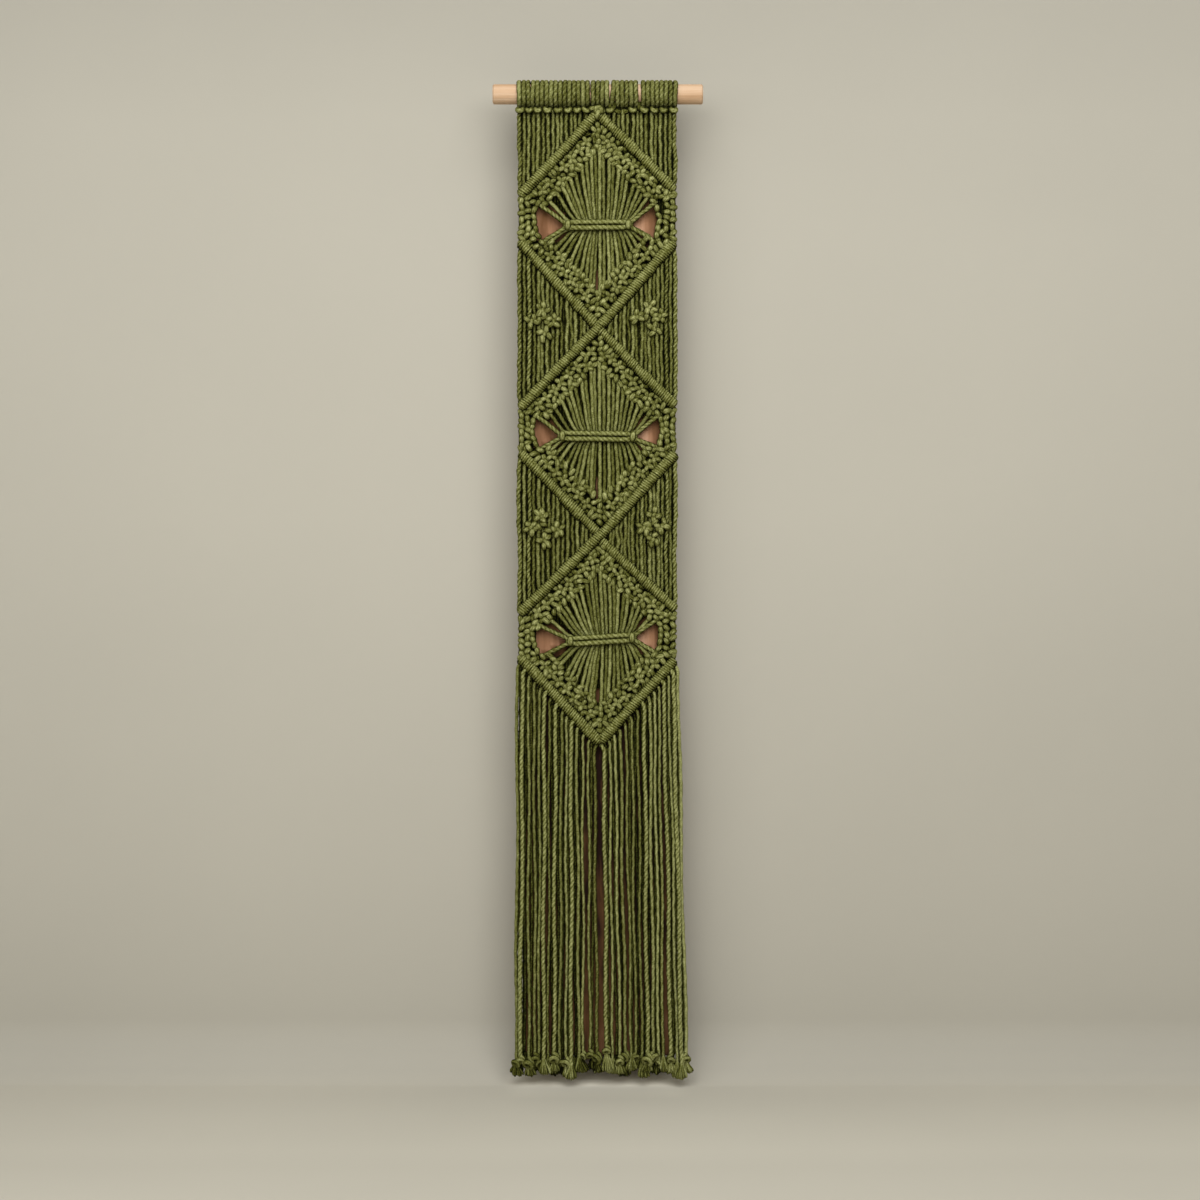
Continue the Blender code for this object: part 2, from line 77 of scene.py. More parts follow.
# The tie across each diamond, from its left knot to its right one (x, z).
ties = {
    "first": ((-29.9, -132.1), (30.4, -131.4)),
    "second": ((-35.4, -342.1), (34.8, -342.7)),
    "third": ((-27.3, -546.5), (34.0, -543.2)),
}

# Where the cloth shows between the fan's middle cords, below the tie: top and foot (z).
slits = {"first": (-174.0, -197.0), "second": (-382.0, -411.0), "third": (-594.0, -608.0)}

# Where the tie's own cords meet the side columns: lower then upper point (x, z), left side then right.
eyes = {
    "first": (((-52.0, -146.5), (-56.5, -112.5)), ((54.5, -146.5), (56.0, -110.5))),
    "second": (((-54.5, -353.4), (-58.5, -324.0)), ((57.5, -352.8), (60.0, -322.0))),
    "third": (((-51.5, -559.8), (-59.0, -530.5)), ((56.5, -557.4), (58.0, -525.8))),
}


def jitter(amount):
    return dice.uniform(-amount, amount)


def lean(degrees):
    return radians(jitter(degrees))


def unit(x, z):
    length = hypot(x, z)
    return x / length, z / length


def barHeight(bar, x):
    middleX, middleZ, cornerX, cornerZ = bar
    return middleZ + (cornerZ - middleZ) * (x - middleX) / (cornerX - middleX)


def insidePanel(x, margin):
    return layout["bodyLeft"] + margin < x < layout["bodyRight"] - margin


def eyeEdges(diamond, side, x):
    # how far across an eye x lies, from the tie's knot (0) to its outer side (1), and its foot and top there
    lower, upper = eyes[diamond][side]
    tieX, tieZ = ties[diamond][side]
    wide = (x - tieX) / ((lower[0] + upper[0]) / 2 - tieX)
    return wide, tieZ + (lower[1] - tieZ) * wide, tieZ + (upper[1] - tieZ) * wide


def lengthsAlong(path):
    steps = np.linalg.norm(np.diff(path, axis=0), axis=1)
    return np.concatenate([[0.0], np.cumsum(steps)])


def smoothPath(points, step):
    # an even row of points on one soft curve through the given ones, and how far along each one lies
    given = np.array(points, float)
    spans = np.sqrt(np.linalg.norm(np.diff(given, axis=0), axis=1)) + 1e-6
    knots = np.concatenate([[0.0], np.cumsum(spans)])
    slopes = np.gradient(given, knots, axis=0)
    t = np.linspace(0.0, 1.0, 12, endpoint=False)[:, None]
    fine = []
    for k, span in enumerate(spans):
        fine.append(
            (2 * t**3 - 3 * t**2 + 1) * given[k]
            + (t**3 - 2 * t**2 + t) * span * slopes[k]
            + (3 * t**2 - 2 * t**3) * given[k + 1]
            + (t**3 - t**2) * span * slopes[k + 1]
        )
    curve = np.concatenate(fine + [given[-1:]])
    along = lengthsAlong(curve)
    even = np.linspace(0.0, along[-1], max(4, round(along[-1] / step) + 1))
    path = np.stack([np.interp(even, along, curve[:, k]) for k in range(3)], axis=1)
    return path, np.linspace(0.0, lengthsAlong(path)[-1], len(path))


def rounding(along, reach, least=0.1):
    # the share of its radius that a cord has near its rounded ends
    fromEnd = np.clip(np.minimum(along, along[-1] - along) / reach, 0.0, 1.0)
    return np.sqrt(np.clip(1.0 - (1.0 - fromEnd) ** 2, least, 1.0))


def carriedFrames(path):
    # two directions square to the path, carried along it without twisting
    headings = np.gradient(path, axis=0)
    headings /= np.linalg.norm(headings, axis=1)[:, None]
    side = Vector(np.cross(headings[0], (0.0, 1.0, 0.0)))
    if side.length < 0.2:
        side = Vector((1.0, 0.0, 0.0))
    sides = []
    for heading in headings:
        forward = Vector(heading)
        side = (side - forward * side.dot(forward)).normalized()
        sides.append(side[:])
    sides = np.array(sides)
    return sides, np.cross(headings, sides)


# How a cord darkens at its sides with painted shade, where crevices fall: from which facing, over how much
# more of a turn, by how much.
paintedRimShades = {
    "cord": (0.76, 0.72, 0.92),
    "lump": (0.85, 0.78, 0.9),
    "wrap": (0.74, 0.70, 0.8),
    "bar": (0.72, 0.70, 0.72),
}
panelEdge = 76.0  # beyond this distance from the middle line nothing lies beside a cord


plyLook = {
    "ring": 15.0,  # length of cord that has as many rings as corners
    "rates": (0.62, 0.23, 0.41, 1.7, 1.03, 0.37),  # waves: two sideways, one in depth, three of girth
    "sideways": (0.26, 0.3),
    "depth": 0.35,
    "girth": 0.045,
    "calm": 8.0,  # how close to an end the waves die down
}


class Skein:
    # gathers many cords, then makes one mesh of them
    def __init__(self, name):
        self.name = name
        self.count = 0
        self.points, self.quads, self.triangles = [], [], []
        self.quadMap, self.triangleMap = [], []
        self.furrows, self.tonesAndShades = [], []

    def tube(self, path, radii, pattern, turn, tone, start=0.0, furrow=None, axis=None, rim="cord"):
        # rings of one tube; pattern gives each corner's share of the radius
        rings, sides = len(path), len(pattern)
        sideways, depth = carriedFrames(path)
        corners = np.arange(sides)[None, :] * (2 * pi / sides) + turn * np.arange(rings)[:, None] + start
        reach = (radii if radii.ndim == 2 else radii[:, None]) * np.array(pattern)[None, :]
        across, back = np.cos(corners)[:, :, None], np.sin(corners)[:, :, None]
        aside = across * sideways[:, None, :] + back * depth[:, None, :]
        ring = path[:, None, :] + reach[:, :, None] * aside
        self.points += [ring.reshape(-1, 3), path[[0, -1]]]
        index = self.count + np.arange(rings * sides).reshape(rings, sides)
        after = np.roll(index, -1, axis=1)
        self.quads.append(np.stack([index[:-1], after[:-1], after[1:], index[1:]], axis=2).reshape(-1, 4))
        along = lengthsAlong(path)
        u = np.arange(sides + 1) / sides
        low, high = np.meshgrid(along[:-1], u[:-1], indexing="ij")
        lowAfter, highAfter = np.meshgrid(along[1:], u[1:], indexing="ij")
        mapped = np.stack([high, low, highAfter, low, highAfter, lowAfter, high, lowAfter], axis=2)
        self.quadMap.append(mapped.reshape(-1, 2))
        cap = np.full(sides, self.count + rings * sides)
        self.triangles.append(np.stack([after[0], index[0], cap], axis=1))
        self.triangles.append(np.stack([index[-1], after[-1], cap + 1], axis=1))
        self.triangleMap.append(np.zeros((sides * 6, 2)))
        # painted shade in the valleys between the plies, unless the caller gives its own painted shading
        if furrow is None:
            furrow = np.tile((1.0 - np.array(pattern)) * 3.0, (rings, 1))
        # painted shade: a cord is darker where it turns away into the crevice beside it, except at the
        # panel's edges
        if axis is None:
            facing = np.abs(aside[:, :, 1])
            atEdge = (np.abs(path[:, 0] + 0.6) > panelEdge)[:, None]
            outside = np.sign(path[:, 0])[:, None] * aside[:, :, 0]
            facing = np.where(atEdge, np.maximum(facing, outside), facing)
        else:
            outward = path * np.array(axis)
            outward /= np.linalg.norm(outward, axis=1)[:, None]
            facing = (aside * outward[:, None, :]).sum(axis=2)
        begins, over, darkness = paintedRimShades[rim]
        paintedCreviceShade = np.clip((begins - facing) / over, 0.0, 1.0) ** 1.3
        self.furrows += [(furrow + darkness * paintedCreviceShade).ravel(), np.full(2, darkness)]
        self.count += rings * sides + 2
        self.tonesAndShades.append(np.full(rings * sides + 2, tone))

    def cord(self, points, radius, lobe=0.1, sides=12, tone=0.0, axis=None, rough=1.0, taper=1.0):
        # a three-ply cord with rounded ends; its corners follow the ply
        look = plyLook
        path, along = smoothPath(points, look["ring"] / sides)
        waves = [np.sin(along * rate + dice.uniform(0.0, 6.28)) for rate in look["rates"]]
        fade = rough * np.minimum(np.minimum(along, along[-1] - along) / look["calm"], 1.0)
        path[:, 0] += fade * (look["sideways"][0] * waves[0] + look["sideways"][1] * waves[1])
        path[:, 1] += fade * look["depth"] * waves[2]
        swell = 1.0 + look["girth"] * rough * (waves[3] + waves[4] + waves[5])
        radii = radius * np.linspace(1.0, taper, len(path)) * swell * rounding(along, radius)
        pattern = [1.0 - lobe + lobe * abs(cos(3 * pi * k / sides)) for k in range(sides)]
        start, rim = dice.uniform(0.0, 6.28), "cord" if axis is None else "wrap"
        self.tube(path, radii, pattern, 2 * pi / sides, tone, start, axis=axis, rim=rim)

    def plain(self, points, radius, step, sides, tone, blunt=1.0):
        # a smooth cord for tight knots, with rounded ends
        path, along = smoothPath(points, step)
        radii = radius * rounding(along, radius * blunt) if blunt else np.full(len(path), radius)
        self.tube(path, radii, [1.0] * sides, 0.0, tone, dice.uniform(0.0, 1.0), rim="lump")

    def make(self, material, node="knotted_panel"):
        mesh = bpy.data.meshes.new(self.name)
        quads, triangles = np.concatenate(self.quads), np.concatenate(self.triangles)
        mesh.vertices.add(self.count)
        mesh.vertices.foreach_set("co", (np.concatenate(self.points) * mm).ravel())
        mesh.loops.add(quads.size + triangles.size)
        mesh.loops.foreach_set("vertex_index", np.concatenate([quads.ravel(), triangles.ravel()]))
        starts = np.concatenate([np.arange(len(quads)) * 4, quads.size + np.arange(len(triangles)) * 3])
        mesh.polygons.add(len(starts))
        mesh.polygons.foreach_set("loop_start", starts)
        mesh.update(calc_edges=True)
        layer = mesh.uv_layers.new(name="cordMap")
        layer.data.foreach_set("uv", np.concatenate(self.quadMap + self.triangleMap).ravel())
        paint(mesh, "furrow", self.furrows)
        paint(mesh, "tone", self.tonesAndShades)
        print(f"  {self.name}: {len(quads) * 2 + len(triangles)} triangles")
        placePiece(self.name, mesh, material, "olive_cord", node)


def paint(mesh, name, values):
    attribute = mesh.attributes.new(name, "FLOAT", "POINT")
    attribute.data.foreach_set("value", np.concatenate(values))


def newObject(name, data):
    made = bpy.data.objects.new(name, data)
    bpy.context.scene.collection.objects.link(made)
    return made


def placePiece(name, mesh, material, slotName, *nodes):
    mesh.validate()
    mesh.shade_smooth()
    mesh.materials.append(material)
    piece = newObject(name, mesh)
    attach(piece, "root")
    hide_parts(*nodes)
    return piece


class Wire:
    # a shader socket that can stand in a sum
    def __init__(self, tree, socket=None):
        self.tree = tree
        self.socket = socket

    def node(self, kind, settings=None, sockets=None, out=0):
        made = self.tree.nodes.new(kind)
        for name, value in (settings or {}).items():
            if name == "stops":
                ramp = made.color_ramp
                while len(ramp.elements) < len(value):
                    ramp.elements.new(0.5)
                for element, (place, colour) in zip(ramp.elements, value):
                    element.position = place
                    element.color = (*colour, 1.0)
            else:
                setattr(made, name, value)
        for name, value in (sockets or {}).items():
            if isinstance(value, Wire):
                self.tree.links.new(value.socket, made.inputs[name])
            else:
                made.inputs[name].default_value = value
        return Wire(self.tree, made.outputs[out])

    def maths(self, operation, first, second=0.0):
        return self.node("ShaderNodeMath", {"operation": operation}, {0: first, 1: second})

    def __add__(self, other):
        return self.maths("ADD", self, other)

    def __sub__(self, other):
        return self.maths("SUBTRACT", self, other)

    def __rsub__(self, other):
        return self.maths("SUBTRACT", other, self)

    def __mul__(self, other):
        return self.maths("MULTIPLY", self, other)

    __radd__, __rmul__ = __add__, __mul__

    def blend(self, share, first, second, mode="MIX"):
        # two colours mixed by a share
        sockets = {"Factor": share, 6: first, 7: second}
        settings = {"data_type": "RGBA", "blend_type": mode}
        return self.node("ShaderNodeMix", settings, sockets, out=2)

    def drawn(self, scale):
        return self.node("ShaderNodeMapping", {}, {"Vector": self, "Scale": scale})

    def noise(self, scale, detail, **more):
        return self.node("ShaderNodeTexNoise", {}, {"Vector": self, "Scale": scale, "Detail": detail, **more})

    def part(self, axis):
        return self.node("ShaderNodeSeparateXYZ", {}, {"Vector": self}, out=axis)

    def painted(self, name):
        return self.node("ShaderNodeAttribute", {"attribute_name": name}, out=2)

    def ramp(self, stops):
        return self.node("ShaderNodeValToRGB", {"stops": stops}, {"Fac": self})

    def bump(self, strength, distance):
        return self.node("ShaderNodeBump", {}, {"Height": self, "Strength": strength, "Distance": distance})


def newMaterial(name, constants):
    # the material, the place on its object as a wire, and its shader
    material = bpy.data.materials.new(name)
    material.use_nodes = True
    shader = material.node_tree.nodes["Principled BSDF"]
    for socket, value in constants.items():
        shader.inputs[socket].default_value = value
    return material, Wire(material.node_tree).node("ShaderNodeTexCoord", out=3), shader


def plug(wire, shader, socket):
    wire.tree.links.new(wire.socket, shader.inputs[socket])


def shades(pairs, colour=(1.0, 1.0, 1.0)):
    # a ramp's stops: one colour, lighter or darker at each place
    return [(place, tuple(c * lift for c in colour)) for place, lift in pairs]


cottonLook = {
    "deep": (0.006, 0.0065, 0.0012),
    "shade": (0.070, 0.072, 0.0105),
    "mid": (0.146, 0.150, 0.042),
    "light": (0.46, 0.47, 0.20),
    "roughness": 0.85,
    "sheen": 0.01,
    "sheenTint": (0.70, 0.72, 0.45, 1.0),
    "fibreScale": (9.0, 0.42, 1.0),  # finer round the cord than along it
    "fibreBump": 0.35,
}


def makeCotton():
    look = cottonLook
    constants = {
        "Roughness": look["roughness"],
        "Sheen Weight": look["sheen"],
        "Sheen Roughness": 0.5,
        "Sheen Tint": look["sheenTint"],
        "Specular IOR Level": 0.04,
    }
    material, place, shader = newMaterial("olive_cotton_cord", constants)
    cordMap = place.node("ShaderNodeUVMap", {"uv_map": "cordMap"})
    fibres = cordMap.drawn(look["fibreScale"]).noise(1.6, 4.0, Roughness=0.62)
    patches, fluff = place.noise(170.0, 3.0), place.noise(900.0, 3.0)
    # the cord's tone, darker behind as painted shade, less the painted shading of its crevices and plies,
    # with fibre noise, sets its colour
    bright = place.painted("tone") - place.painted("furrow") - 0.64
    bright = bright + fibres * 1.3 + patches * 0.55 + fluff * 0.6
    stops = [(0.0, look["deep"]), (0.25, look["shade"]), (0.5, look["mid"]), (1.0, look["light"])]
    plug(bright.ramp(stops), shader, "Base Color")
    plug((fibres * 0.7 + fluff * 0.3).bump(look["fibreBump"], 0.0006), shader, "Normal")
    return material


woodLook = {
    "pale": (0.625, 0.44, 0.285),
    "warm": (0.545, 0.352, 0.206),
    "dark": (0.44, 0.26, 0.135),
    "roughness": 0.6,
    "grainScale": (6.0, 130.0, 130.0),  # long along the dowel
    "poreScale": (60.0, 1400.0, 1400.0),
}


def makeWood():
    look = woodLook
    constants = {"Roughness": look["roughness"], "Specular IOR Level": 0.22}
    material, place, shader = newMaterial("pale_sanded_wood", constants)
    grain = place.drawn(look["grainScale"]).noise(1.0, 5.0, Distortion=0.4)
    pores = place.drawn(look["poreScale"]).noise(1.0, 2.0)
    stops = [(0.30, look["dark"]), (0.45, look["warm"]), (0.62, look["pale"])]
    plug((grain * 0.8 + pores * 0.25).ramp(stops), shader, "Base Color")
    plug(pores.bump(0.12, 0.0003), shader, "Normal")
    return material


clothLook = {
    "deep": (0.022, 0.008, 0.004),
    "shade": (0.13, 0.059, 0.021),
    "body": (0.215, 0.102, 0.048),
    "lit": (0.36, 0.185, 0.098),
    "bright": (0.58, 0.33, 0.20),
    "roughness": 0.95,
    "mottleScale": (120.0, 40.0, 22.0),
    "weave": 7800.0,  # of its two rows of threads
}


def makeCloth():
    look = clothLook
    constants = {"Roughness": look["roughness"], "Specular IOR Level": 0.15, "Sheen Weight": 0.2}
    material, place, shader = newMaterial("plain_brown_cloth", constants)
    mottle = place.drawn(look["mottleScale"]).noise(1.0, 3.0)
    colours = [look[name] for name in ("deep", "shade", "body", "lit", "bright")]
    stops = list(zip((0.0, 0.25, 0.5, 0.75, 1.0), colours))
    # the cloth's painted shading darkens its mottle, and where it is below zero it is painted light
    plug((mottle - place.painted("covered")).ramp(stops), shader, "Base Color")
    across = place.maths("SINE", place.part(0) * look["weave"])
    upward = place.maths("SINE", place.part(2) * look["weave"])
    plug((across * upward).bump(0.25, 0.0002), shader, "Normal")
    return material


stage = {
    "wallY": 55.0,
    "floorZ": -992.0,
    "cove": 60.0,
    "wallColour": (0.445, 0.42, 0.35),
    # painted light: how pale the sheet is, from the wall (0) through its rounded foot to 0.4 m in front (1)
    "lifts": (
        (0.0, 1.0), (0.02, 0.98), (0.055, 1.02), (0.13, 1.26),
        (0.3, 1.27), (0.5, 1.3), (0.85, 1.32), (1.0, 1.26),
    ),
    "liftShare": (0.055, 2.2),  # from a place in metres to a share of its ramp: zero, and shares per metre
    # and painted light falling off up the wall, from just above the foot (0) to just above the dowel (1)
    "paintedWallFalloff": ((0.0, 0.94), (0.05, 0.975), (0.17, 1.02), (0.5, 1.05), (0.77, 1.0), (0.89, 0.955), (1.0, 0.86)),
    "paintedWallFalloffShare": (0.95, 0.952),
    # and a painted light patch once more right under the ends, which keep the light off it: from y = 30 mm
    # (0) to -70 mm (1)
    "paintedLightPatch": (
        (0.0, 1.0), (0.1, 1.85), (0.15, 1.95), (0.22, 1.8),
        (0.33, 1.27), (0.5, 1.15), (0.8, 1.06), (1.0, 1.0),
    ),
    "paintedLightPatchShare": (0.03, 10.0),
    "paintedLightPatchHalf": (0.070, 0.098),  # in metres from the middle: where it starts to fade, and where it ends
    "grain": ((0.3, 0.95), (0.7, 1.0)),
    "roughness": 0.9,
    "reach": 6000.0,
}


def makePlaster():
    # the backdrop's front is solid, and its back lets a look from behind pass
    material, place, shader = newMaterial("pale_backdrop", {"Roughness": stage["roughness"]})
    towards, height = place.part(1), place.part(2)
    zero, scale = stage["liftShare"]
    # painted light: a paler floor, a falloff up the wall and a paler patch under the ends
    colour = ((zero - towards) * scale).ramp(shades(stage["lifts"], stage["wallColour"]))
    zero, scale = stage["paintedWallFalloffShare"]
    fade = ((height + zero) * scale).ramp(shades(stage["paintedWallFalloff"]))
    grain = place.noise(2.2, 3.0).ramp(shades(stage["grain"]))
    begins, ends = stage["paintedLightPatchHalf"]
    across = place.maths("ABSOLUTE", place.part(0))
    span = {"Value": across, "From Min": begins, "From Max": ends, "To Min": 1.0, "To Max": 0.0}
    near = place.node("ShaderNodeMapRange", {"interpolation_type": "SMOOTHSTEP"}, span)
    zero, scale = stage["paintedLightPatchShare"]
    paintedLightPatch = place.blend(near, (1.0,) * 4, ((zero - towards) * scale).ramp(shades(stage["paintedLightPatch"])))
    for layer in (fade, grain, paintedLightPatch):
        colour = place.blend(1.0, colour, layer, "MULTIPLY")
    plug(colour, shader, "Base Color")
    facing = place.node("ShaderNodeNewGeometry", out=6)
    clear = place.node("ShaderNodeBsdfTransparent")
    solid = Wire(place.tree, shader.outputs[0])
    mixed = place.node("ShaderNodeMixShader", {}, {"Fac": facing, 1: solid, 2: clear})
    plug(mixed, material.node_tree.nodes["Material Output"], "Surface")
    return material


def makeStage():
    # wall and floor as one sheet with a rounded foot
    reach, cove = stage["reach"], stage["cove"]
    wallY, floorZ = stage["wallY"], stage["floorZ"]
    profile = [(wallY, reach)]
    for angle in np.linspace(0.0, pi / 2, 25):
        profile.append((wallY - cove + cove * cos(angle), floorZ + cove - cove * sin(angle)))
    profile.append((-reach, floorZ))
    points = [(x * mm, y * mm, z * mm) for y, z in profile for x in (-reach, reach)]
    faces = [(k, k + 2, k + 3, k + 1) for k in range(0, len(points) - 2, 2)]
    mesh = bpy.data.meshes.new("backdrop")
    mesh.from_pydata(points, [], faces)
    mesh.shade_smooth()
    mesh.materials.append(makePlaster())
    newObject("backdrop", mesh)


camera = {
    "lens": 85.0,
    "sensor": 36.0,
    "place": (2.2, -2833.3, -505.6),
}


def makeCamera():
    lens = bpy.data.cameras.new("photo_view")
    lens.lens = camera["lens"]
    lens.sensor_width = camera["sensor"]
    holder = newObject("photo_view", lens)
    holder.location = Vector(camera["place"]) * mm
    holder.rotation_euler = (radians(90.0), 0.0, 0.0)
    bpy.context.scene.camera = holder


lights = {
    "key": {"place": (200.0, -1750.0, 800.0), "size": 2000.0, "watts": 58.0},
    "fill": {"place": (-1500.0, -1900.0, 300.0), "size": 1500.0, "watts": 14.0},
    "back": {"place": (600.0, 1900.0, -250.0), "size": 1600.0, "watts": 24.0},
}
air = {
    "aim": (0.0, 0.0, -420.0),  # where the lights point
    "colour": (0.80, 0.80, 0.78, 1.0),
    "strength": 0.06,
}


def makeLights():
    for name, light in lights.items():
        lamp = bpy.data.lights.new(name, "AREA")
        lamp.size = light["size"] * mm
        lamp.energy = light["watts"]
        holder = newObject(name, lamp)
        place = Vector(light["place"]) * mm
        holder.location = place
        holder.rotation_euler = (Vector(air["aim"]) * mm - place).to_track_quat("-Z", "Y").to_euler()
    world = bpy.data.worlds.new("soft_room")
    world.use_nodes = True
    background = world.node_tree.nodes["Background"]
    background.inputs["Color"].default_value = air["colour"]
    background.inputs["Strength"].default_value = air["strength"]
    bpy.context.scene.world = world
    bpy.context.scene.view_settings.view_transform = "Standard"


sleeve = {
    "turns": 34,
    "loopRadius": 11.8,
    "cord": 2.52,
    "bare": {16: 1.0, 20: 1.6, 26: 3.0},  # extra room before a turn, where wood shows
    "slant": 0.5,
    "steep": {20: 1.4},  # a turn that slants more
    "degrees": 372.0,
    "steps": 24,
}


def turnPlaces():
    spare = layout["bodyRight"] - layout["bodyLeft"] - 2 * layout["cordRadius"]
    pitch = (spare - sum(sleeve["bare"].values())) / (sleeve["turns"] - 1)
    x = layout["bodyLeft"] + layout["cordRadius"]
    places = []
    for k in range(sleeve["turns"]):
        x += sleeve["bare"].get(k, 0.0)
        places.append(x)
        x += pitch
    return places


def makeSleeve(cotton):
    skein = Skein("heading_wraps")
    look, loop = sleeve, sleeve["loopRadius"]
    for k, x in enumerate(turnPlaces()):
        slant = look["steep"].get(k, jitter(look["slant"]))
        points = []
        for step in range(look["steps"] + 1):
            angle = radians(look["degrees"] * (0.5 - step / look["steps"]))
            points.append((x + 0.8 * slant * cos(angle), -loop * sin(angle), loop * cos(angle)))
        radius, lobe, tone = look["cord"] + jitter(0.08), 0.065 + jitter(0.055), jitter(0.07) - 0.01
        skein.cord(points, radius, lobe=lobe, tone=tone, axis=(0.0, 1.0, 1.0), rough=0.6)
    skein.make(cotton)


headingKnots = {
    "places": (-77.5, -68.6, -60.1, -50.4, -39.5, -29.7, -20.7, -11.9, 12.4, 34.7, 46.2, 56.1, 65.7, 75.5),
    "hidden": (20.0, 28.0),
    "paintedShadeLumps": (12.0, 16.5, 41.0),  # dark lumps behind, painted shade where the sleeve is bare
    "drop": -17.6,
    "depth": -9.2,
    "cord": 2.75,
    # half of a knot's bow: share of its half width, then how far back and up
    "bow": ((1.0, 4.6, 2.4), (1.0, 1.6, 0.9), (0.8, 0.2, 0.1), (0.3, -0.5, -0.5)),
    # the knot where the first bars meet: x, z and turn of its lumps
    "apex": (
        (-1.8, -16.8, 10), (1.0, -15.0, 85), (3.4, -17.4, -10),
        (0.8, -19.6, 70), (-5.2, -16.0, 80), (-0.4, -22.8, 25),
    ),
}


def makeHeadingKnots(cotton):
    skein = Skein("heading_knots")
    look = headingKnots
    bow = [(-px, py, pz) for px, py, pz in look["bow"]] + list(look["bow"][::-1])
    for x in look["places"] + look["hidden"]:
        hidden = x in look["hidden"]
        slant, wide = jitter(0.8), 2.2 + jitter(0.3)
        y, z = look["depth"] + 5.5 * hidden, look["drop"]
        points = [(x + px * wide, y + py, z + pz + slant * px) for px, py, pz in bow]
        # painted shade: the knots hidden behind the sleeve are darker
        tone = jitter(0.08) - 0.02 - 0.3 * hidden
        skein.plain(points, look["cord"] + jitter(0.15), 1.1, 10, tone)
    for x in look["paintedShadeLumps"]:
        lump(skein, x, -5.0, -12.5, 0.0, 3.2, 2.5, -0.42)
    for x, z, turn in look["apex"]:
        lump(skein, x, -10.8, z, radians(turn), 2.1, 2.6, 0.03)
    skein.make(cotton)


lumpLook = {
    "radius": 2.85,
    # its arch: share of its half length, then how far back
    "arch": ((-1.0, 2.2), (-0.75, 0.3), (-0.3, -0.5), (0.3, -0.5), (0.75, 0.3), (1.0, 2.2)),
    "archRadius": 2.3,  # of the cord that the arch is given for
    "room": 4.8,  # least distance between the middles of two lumps
    "roomBehind": 3.6,
    "depth": -6.6,
    "turns": (0.0, 0.0, 90.0, 35.0, -35.0, 62.0, -62.0),  # degrees from upright
}


def lump(skein, x, y, z, turn, half, radius, tone):
    # the part of a knot that shows: a short arch of cord, upright when turn is 0
    across, up = half * sin(turn), half * cos(turn)
    rise = radius / lumpLook["archRadius"]
    points = [(x + share * across, y + back * rise, z + share * up) for share, back in lumpLook["arch"]]
    skein.plain(points, radius, 1.0, 10, tone, 0.6)


def tooNear(taken, x, z, room):
    return any((x - px) ** 2 + (z - pz) ** 2 < room * room for px, pz in taken)


def scatterLump(skein, taken, x, z, turn, half, behind=False):
    # one lump of a crowd, left out where another is too near
    look = lumpLook
    if tooNear(taken, x, z, look["roomBehind" if behind else "room"]):
        return
    taken.append((x, z))
    y = look["depth"] + jitter(1.1) + 2.4 * behind
    # painted shade: lumps behind the front ones are darker
    tone = jitter(0.1) + 0.02 - 0.22 * behind
    lump(skein, x, y, z, turn, half, look["radius"] + jitter(0.25), tone)


crossKnots = {
    "rows": (12.4, 20.4),  # from the bar's axis, square to it
    "pitch": 10.8,
    "spare": 6.0,  # bare length of a row at the bar's corner
    "wander": 0.6,
    "drift": 0.6,
    "reach": 3.3,  # from a cross's middle to its lumps
    "half": 1.7,
    "room": 6.78,  # least distance from its middle to a lump of another
}


def scatterCross(skein, taken, diamond, x, z):
    # four lumps about one point, left out where the crowd is already too near
    look = crossKnots
    if tooNear(taken, x, z, look["room"]):
        return
    spin = 0.25 * pi + jitter(0.45)
    for petal in range(4):
        angle = spin + petal * pi / 2 + jitter(0.18)
        px, pz = x + look["reach"] * sin(angle), z + look["reach"] * cos(angle)
        if insideEye(diamond, px, pz):
            continue
        taken.append((px, pz))
        depth, radius = lumpLook["depth"] + jitter(0.9), lumpLook["radius"] - 0.2 + jitter(0.25)
        lump(skein, px, depth, pz, angle, look["half"] + jitter(0.3), radius, 0.04 + jitter(0.08))


bandKnots = {
    "rows": (8.6, 13.6, 18.6, 23.2),  # from the bar's axis, square to it
    "behind": (7.0, 11.5, 16.0, 20.5, 23.5),
    "pitch": 2.7,
    "spare": 4.0,
    "wander": 0.7,
    "drift": 0.5,
    "twist": 16.0,
    "apex": (9.5, 15.0, 20.3, 25.6, 31.0),  # lumps straight below or above a diamond's tip
    "around": (0.0, 0.17, 0.34, 0.5, 0.66, 0.83, 1.0),  # lumps up an eye's outer side
    "bulge": 5.8,  # how far that row bows outwards
    "beside": (3.4, -0.2),  # and how far off it stands, left and right
}


def insideEye(diamond, x, z):
    wide, foot, top = eyeEdges(diamond, 0 if x < 1.0 else 1, x)
    return 0.0 < wide < 1.15 and foot - 2.0 < z < top + 2.0


def placesAlong(bar, offset, stagger, look):
    # places in one row inside a bar, from its inner end to its corner, and the direction square to the bar
    alongX, alongZ = unit(bar[2] - bar[0], bar[3] - bar[1])
    normalX, normalZ = -alongZ, alongX
    if (normalZ < 0) != (bar[3] < bar[1]):
        normalX, normalZ = alongZ, -alongX
    length = hypot(bar[2] - bar[0], bar[3] - bar[1])
    way = offset * abs(normalX / normalZ) + look["pitch"] * 0.5 * stagger + 2.0
    while way < length - look["spare"]:
        x = bar[0] + alongX * way + normalX * offset + jitter(look["wander"])
        z = bar[1] + alongZ * way + normalZ * offset + jitter(look["wander"])
        way += look["pitch"] + jitter(look["drift"])
        yield x, z, atan2(normalX, normalZ)


